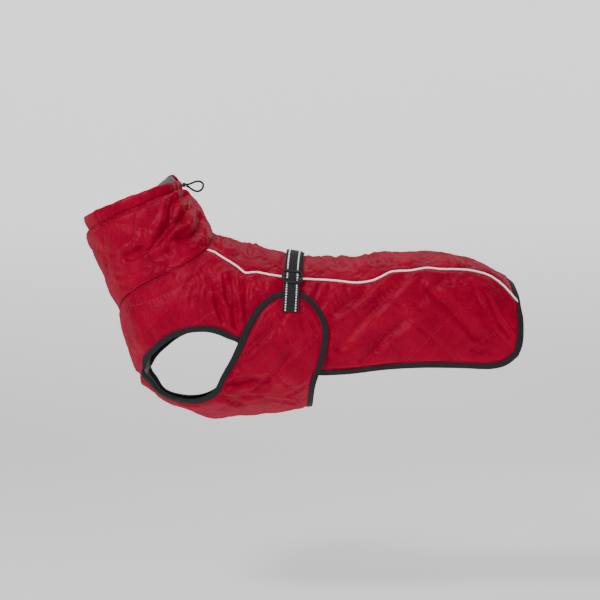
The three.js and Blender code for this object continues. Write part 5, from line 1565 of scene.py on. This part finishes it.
class COAT_OT_bindings(bpy.types.Operator):
    """Folded black tape round armholes, hem, rear edge and belly panel"""

    bl_idname = "coat.bindings"
    bl_label = "Bindings"

    def execute(self, context):
        edge, inner = coat_strip()
        inner[0] = (CHEST_RING, CHEST_INSET)
        inner[-1] = (CHEST_RING, -CHEST_INSET)
        self.binding("hem_tape", finer(edge, 5), finer(inner, 5), coat_lift, ("hem_binding",))
        edge, inner = belly_edges()
        ends = (STEM_ROWS, len(edge) - 1 - STEM_ROWS)
        edge, inner = finer(edge, 5, ends), finer(inner, 5, ends)
        self.binding("belly_tape", edge, inner, belly_lift, ("belly_binding",))
        return {"FINISHED"}

    def binding(self, name, edge, inner, lift, node):
        outer, under = WALL + GAP + TAPE / 2, -GAP - TAPE / 2
        middle, reach = (outer + under) / 2, (outer - under) / 2
        crown = [(9, 0), (7.6, 0.1), (5.6, 0.12), (3.4, 0.1), (1.4, 0.05)]
        flange = [(depth, outer + height) for depth, height in crown]
        turns = np.linspace(0.2, math.pi - 0.2, 8)
        fold = [(0.35 - 1.05 * math.sin(turn), middle + reach * math.cos(turn)) for turn in turns]
        back = [(1.4, under - 0.05), (4.2, under), (9, under)]
        profile = flange + fold + back
        over_edge, over_inner = lift(edge), lift(inner)
        here, inset = base(edge), base(inner)
        out = (here - inset) / BINDING_WIDTH
        normal_here, normal_inset = form_normal(edge), form_normal(inner)
        points = np.zeros((len(edge), len(profile), 3))
        for k, (depth, height) in enumerate(profile):
            at_edge = here + normal_here * (over_edge + height - SKIN)[:, None]
            at_inset = inset + normal_inset * (over_inner + height - SKIN)[:, None]
            if depth > 0:
                points[:, k] = mix(at_edge, at_inset, depth / BINDING_WIDTH * 0.93)
            else:
                points[:, k] = at_edge + out * -depth
        for end, other in ((0, 1), (-1, -2)):
            share = GAP / max(np.linalg.norm(points[end, 0] - points[other, 0]), GAP)
            points[end] = mix(points[end], points[other], min(share, 0.8))
        marks = lengths_along(here)
        wide = np.cumsum([0, *[math.dist(a, b) for a, b in zip(profile, profile[1:])]])
        uv = np.stack(np.broadcast_arrays(marks[:, None], wide[None]), -1)
        bm = bmesh.new()
        add_grid(bm, points, uv, normal_here[len(edge) // 2])
        bmesh.ops.recalc_face_normals(bm, faces=bm.faces)
        self.face_out(bm, points, normal_here)
        smooth_faces(bm)
        tape = finish_piece(new_object(name, bm), "black_binding", "black_binding", node=node)
        shell(tape, thickness=TAPE * 0.85, offset=0)
        share = 7.1 / BINDING_WIDTH * 0.93
        at_edge = here + normal_here * (over_edge + outer + 0.42 - SKIN)[:, None]
        at_inset = inset + normal_inset * (over_inner + outer + 0.42 - SKIN)[:, None]
        pitch = bpy.context.scene.coat_sizes.stitch_pitch * 1000
        line = mix(at_edge, at_inset, share)
        seam = stitches(name + "_stitches", [(line, normal_here)], pitch, (1.25, 0.26, 0.22))
        finish_piece(seam, "black_binding", "black_thread")

    def face_out(self, bm, points, normals):
        """Turns the strip's faces so that the flange on the outer side faces outwards."""
        bm.faces.ensure_lookup_table()
        spot = Vector(points[len(points) // 2, 2] / 1000)
        face = min(bm.faces, key=lambda item: (item.calc_center_median() - spot).length)
        if face.normal.dot(Vector(normals[len(normals) // 2])) < 0:
            bmesh.ops.reverse_faces(bm, faces=bm.faces)


class COAT_OT_piping(bpy.types.Operator):
    """White reflective piping along the two back seams"""

    bl_idname = "coat.piping"
    bl_label = "Piping"

    def execute(self, context):
        lift = WALL + GAP + PIPING_RADIUS + 0.2
        reach = np.linspace(1.5, PIPING.length - 10, 330)
        places = PIPING.at(reach / PIPING.length)
        for side, turn in (("left", 1), ("right", -1)):
            sway = 0.12 * np.sin(reach * 0.19 + turn) + 0.1 * np.sin(reach * 0.47)
            centres = lifted(places * [1, turn], lift + sway)
            ends = smooth(np.minimum(np.arange(330), np.arange(330)[::-1]) / 4 + 0.25)
            piece = tube_object("piping_cord_" + side, centres, PIPING_RADIUS * ends, 12)
            finish_piece(piece, "white_reflective", "white_piping", node=("piping_" + side,))
        return {"FINISHED"}


def strap_places(route, offset, across, step):
    """Places and heights along a route of the webbing, for each share across its width."""
    table = np.array(route)
    count = int((table[-1, 0] - table[0, 0]) * HALF_GIRTH / step)
    shares = np.linspace(table[0, 0], table[-1, 0], count + 1)
    lifts = np.interp(shares, table[:, 0], table[:, 1])
    if count > 8:
        lifts[2:-2] = np.convolve(lifts, np.array([1, 2, 3, 2, 1]) / 9, "valid")
    goal = STRAP_X - STRAP_LEAN * np.abs(shares)
    stations = np.linspace(2, 14, 241)
    places = np.zeros((count + 1, len(across), 2))
    for index, share in enumerate(shares):
        xs = base(np.stack([stations, np.full(241, share)], -1))[:, 0]
        places[index, :, 0] = np.interp(-(goal[index] + offset + across), -xs, stations)
        places[index, :, 1] = share
    return places, lifts


class COAT_OT_webbing(bpy.types.Operator):
    """Girth strap and its return layer with the reflective dashes and box stitching"""

    bl_idname = "coat.webbing"
    bl_label = "Webbing"

    def execute(self, context):
        sizes = context.scene.coat_sizes
        across = np.linspace(-WEBBING_WIDTH / 2, WEBBING_WIDTH / 2, 17)
        for name, route, offset, node, length in (
            ("girth_webbing", STRAP_ROUTE, 0.0, "girth_strap", 0.3),
            ("return_webbing", RETURN_ROUTE, RETURN_OFFSET, "strap_return", 0.115),
        ):
            places, lifts = strap_places(route, offset, across, 2.0)
            crown = 0.25 * (1 - (across / (WEBBING_WIDTH / 2)) ** 2)
            points = lifted(places, lifts[:, None] + WEBBING / 2 + crown[None])
            marks = lengths_along(points[:, 8])
            uv = np.stack(np.broadcast_arrays(marks[:, None], across[None]), -1)
            bm = bmesh.new()
            middle = len(points) // 2
            add_grid(bm, points, uv, form_normal(places[middle:middle + 1, 8])[0])
            smooth_faces(bm)
            piece = finish_piece(new_object(name, bm), "black_webbing", "black_webbing", node=(node,))
            shell(piece, thickness=WEBBING, offset=0)
            bevel = piece.modifiers.new("Woven edge", "BEVEL")
            bevel.width = 0.0004
            bevel.segments = 2
            bevel.limit_method = "ANGLE"
        self.dashes(sizes)
        self.box_stitches(sizes)
        return {"FINISHED"}

    def dashes(self, sizes):
        half = sizes.line_spacing * 500
        places, lifts = strap_places(STRAP_ROUTE, 0.0, np.array([-half, half]), 1.0)
        normals = form_normal(places)
        bm = bmesh.new()
        for column in (0, 1):
            line = lifted(places[:, column], lifts + WEBBING + 0.2)
            spots, along, goals = length_steps(line, sizes.dash_pitch * 1000)
            marks = lengths_along(line)
            outs = read_along(goals, marks, normals[:, column])
            shares = np.interp(goals, marks, places[:, 0, 1])
            for spot, way, out, share in zip(spots, along, outs, shares):
                long = 0.74 if abs(share) < 0.2 else 0.58
                size = (sizes.dash_pitch * 1000 * long, sizes.dash_width * 1000, 0.5)
                bmesh.ops.create_cube(bm, size=1, matrix=basis_matrix(spot, way, out, size))
        bmesh.ops.bevel(
            bm, geom=bm.edges[:], offset=0.00018, affect="EDGES", segments=2, profile=0.5, material=-1,
            offset_type="OFFSET", clamp_overlap=True)
        smooth_faces(bm)
        finish_piece(new_object("reflective_dashes", bm), "white_reflective", "white_dashes")

    def box_stitches(self, sizes):
        lines = []
        for side in (1, -1):
            corners = [(-9, 0.402), (9, 0.402), (9, 0.368), (-9, 0.368), (-9, 0.402), (9, 0.368)]
            route = []
            for (x0, s0), (x1, s1) in zip(corners[:-1], corners[1:]):
                route += [(mix(x0, x1, t), mix(s0, s1, t)) for t in np.linspace(0, 1, 13)[:-1]]
            table, out = [], []
            stations = np.linspace(2, 14, 241)
            for x, share in route:
                xs = base(np.stack([stations, np.full(241, share)], -1))[:, 0]
                station = np.interp(-(STRAP_X - STRAP_LEAN * share + x), -xs, stations)
                table.append((station, share * side))
                out.append(np.interp(share, [row[0] for row in STRAP_ROUTE], [row[1] for row in STRAP_ROUTE]))
            table = np.array(table)
            lines.append((lifted(table, np.array(out) + WEBBING + 0.3), form_normal(table)))
        seam = stitches("box_stitches", lines, sizes.stitch_pitch * 800, (1.05, 0.3, 0.22))
        finish_piece(seam, "black_webbing", "black_thread")


class COAT_OT_slider(bpy.types.Operator):
    """Three-bar slider that the webbing runs through"""

    bl_idname = "coat.slider"
    bl_label = "Slider"

    def execute(self, context):
        width, height, thick = 33.0, 24.0, 2.0
        slot_width, slot_height, bar, cut = 26.6, 6.7, 3.5, 4.0
        x, y = width / 2, height / 2
        rise = y - cut * 1.6
        lower = [(-x, -rise), (cut - x, -y), (x - cut, -y), (x, -rise)]
        outline = lower + [(-across, -up) for across, up in lower]
        bm = bmesh.new()
        loops = [outline]
        for turn in (-1, 1):
            low = (turn * (bar + slot_height) - slot_height) / 2
            high = low + slot_height
            near, far = -slot_width / 2, slot_width / 2
            loops.append([(near, low), (far, low), (far, high), (near, high)])
        edges = []
        for loop in loops:
            verts = [bm.verts.new((px / 1000, py / 1000, 0)) for px, py in loop]
            edges += [bm.edges.new((a, b)) for a, b in zip(verts, verts[1:] + verts[:1])]
        filled = bmesh.ops.triangle_fill(bm, edges=edges, use_dissolve=False)["geom"]
        faces = [item for item in filled if isinstance(item, bmesh.types.BMFace)]
        made = bmesh.ops.extrude_face_region(bm, geom=faces)["geom"]
        raised = [item for item in made if isinstance(item, bmesh.types.BMVert)]
        bmesh.ops.translate(bm, verts=raised, vec=(0, 0, thick / 1000))
        bmesh.ops.dissolve_limit(bm, angle_limit=0.02, verts=bm.verts, edges=bm.edges)
        bmesh.ops.recalc_face_normals(bm, faces=bm.faces)
        places, _ = strap_places([(SLIDER_SHARE, 0), (SLIDER_SHARE + 0.02, 0)], 0.0, np.array([0.0]), 7.0)
        here, below = places[0], places[-1]
        out = Vector(form_normal(here)[0])
        up = Vector(base(here)[0] - base(below)[0])
        up = (up - out * up.dot(out)).normalized()
        turn = Matrix((up.cross(out), up, out)).transposed().to_4x4()
        spot = Vector(lifted(here, SLIDER_LIFT)[0] / 1000)
        bmesh.ops.transform(bm, matrix=Matrix.Translation(spot) @ turn, verts=bm.verts)
        smooth_faces(bm)
        slider = new_object("slider_frame", bm)
        finish_piece(slider, "black_plastic", "black_plastic", node=("strap_slider",))
        bevel = slider.modifiers.new("Rounded edges", "BEVEL")
        bevel.width = context.scene.coat_sizes.slider_edge
        bevel.segments = 3
        bevel.limit_method = "ANGLE"
        return {"FINISHED"}


class COAT_PT_sidebar(bpy.types.Panel):
    """Lists the coat's pieces, colours and sizes"""

    bl_idname = "COAT_PT_sidebar"
    bl_label = "Dog winter coat"
    bl_space_type = "VIEW_3D"
    bl_region_type = "UI"
    bl_category = "Coat"

    def draw(self, context):
        column = self.layout.column()
        for item in OPERATORS:
            column.operator(item.bl_idname)
        for settings in (context.scene.coat_colors, context.scene.coat_sizes):
            for name in settings.__annotations__:
                column.prop(settings, name)


OPERATORS = (
    COAT_OT_stage, COAT_OT_drawcord, COAT_OT_panels, COAT_OT_collar, COAT_OT_belly, COAT_OT_bindings,
    COAT_OT_piping, COAT_OT_webbing, COAT_OT_slider,
)
CLASSES = (CoatColors, CoatSizes, *OPERATORS, COAT_PT_sidebar)


def register():
    for item in CLASSES:
        bpy.utils.register_class(item)
    bpy.types.Scene.coat_colors = bpy.props.PointerProperty(type=CoatColors)
    bpy.types.Scene.coat_sizes = bpy.props.PointerProperty(type=CoatSizes)


def unregister():
    del bpy.types.Scene.coat_sizes
    del bpy.types.Scene.coat_colors
    for item in reversed(CLASSES):
        bpy.utils.unregister_class(item)


def main():
    register()
    bpy.ops.coat.stage()
    bpy.ops.coat.drawcord()
    bpy.ops.coat.panels()
    bpy.ops.coat.collar()
    bpy.ops.coat.belly()
    bpy.ops.coat.bindings()
    bpy.ops.coat.piping()
    bpy.ops.coat.webbing()
    bpy.ops.coat.slider()
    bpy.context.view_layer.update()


if __name__ == "__main__":
    main()
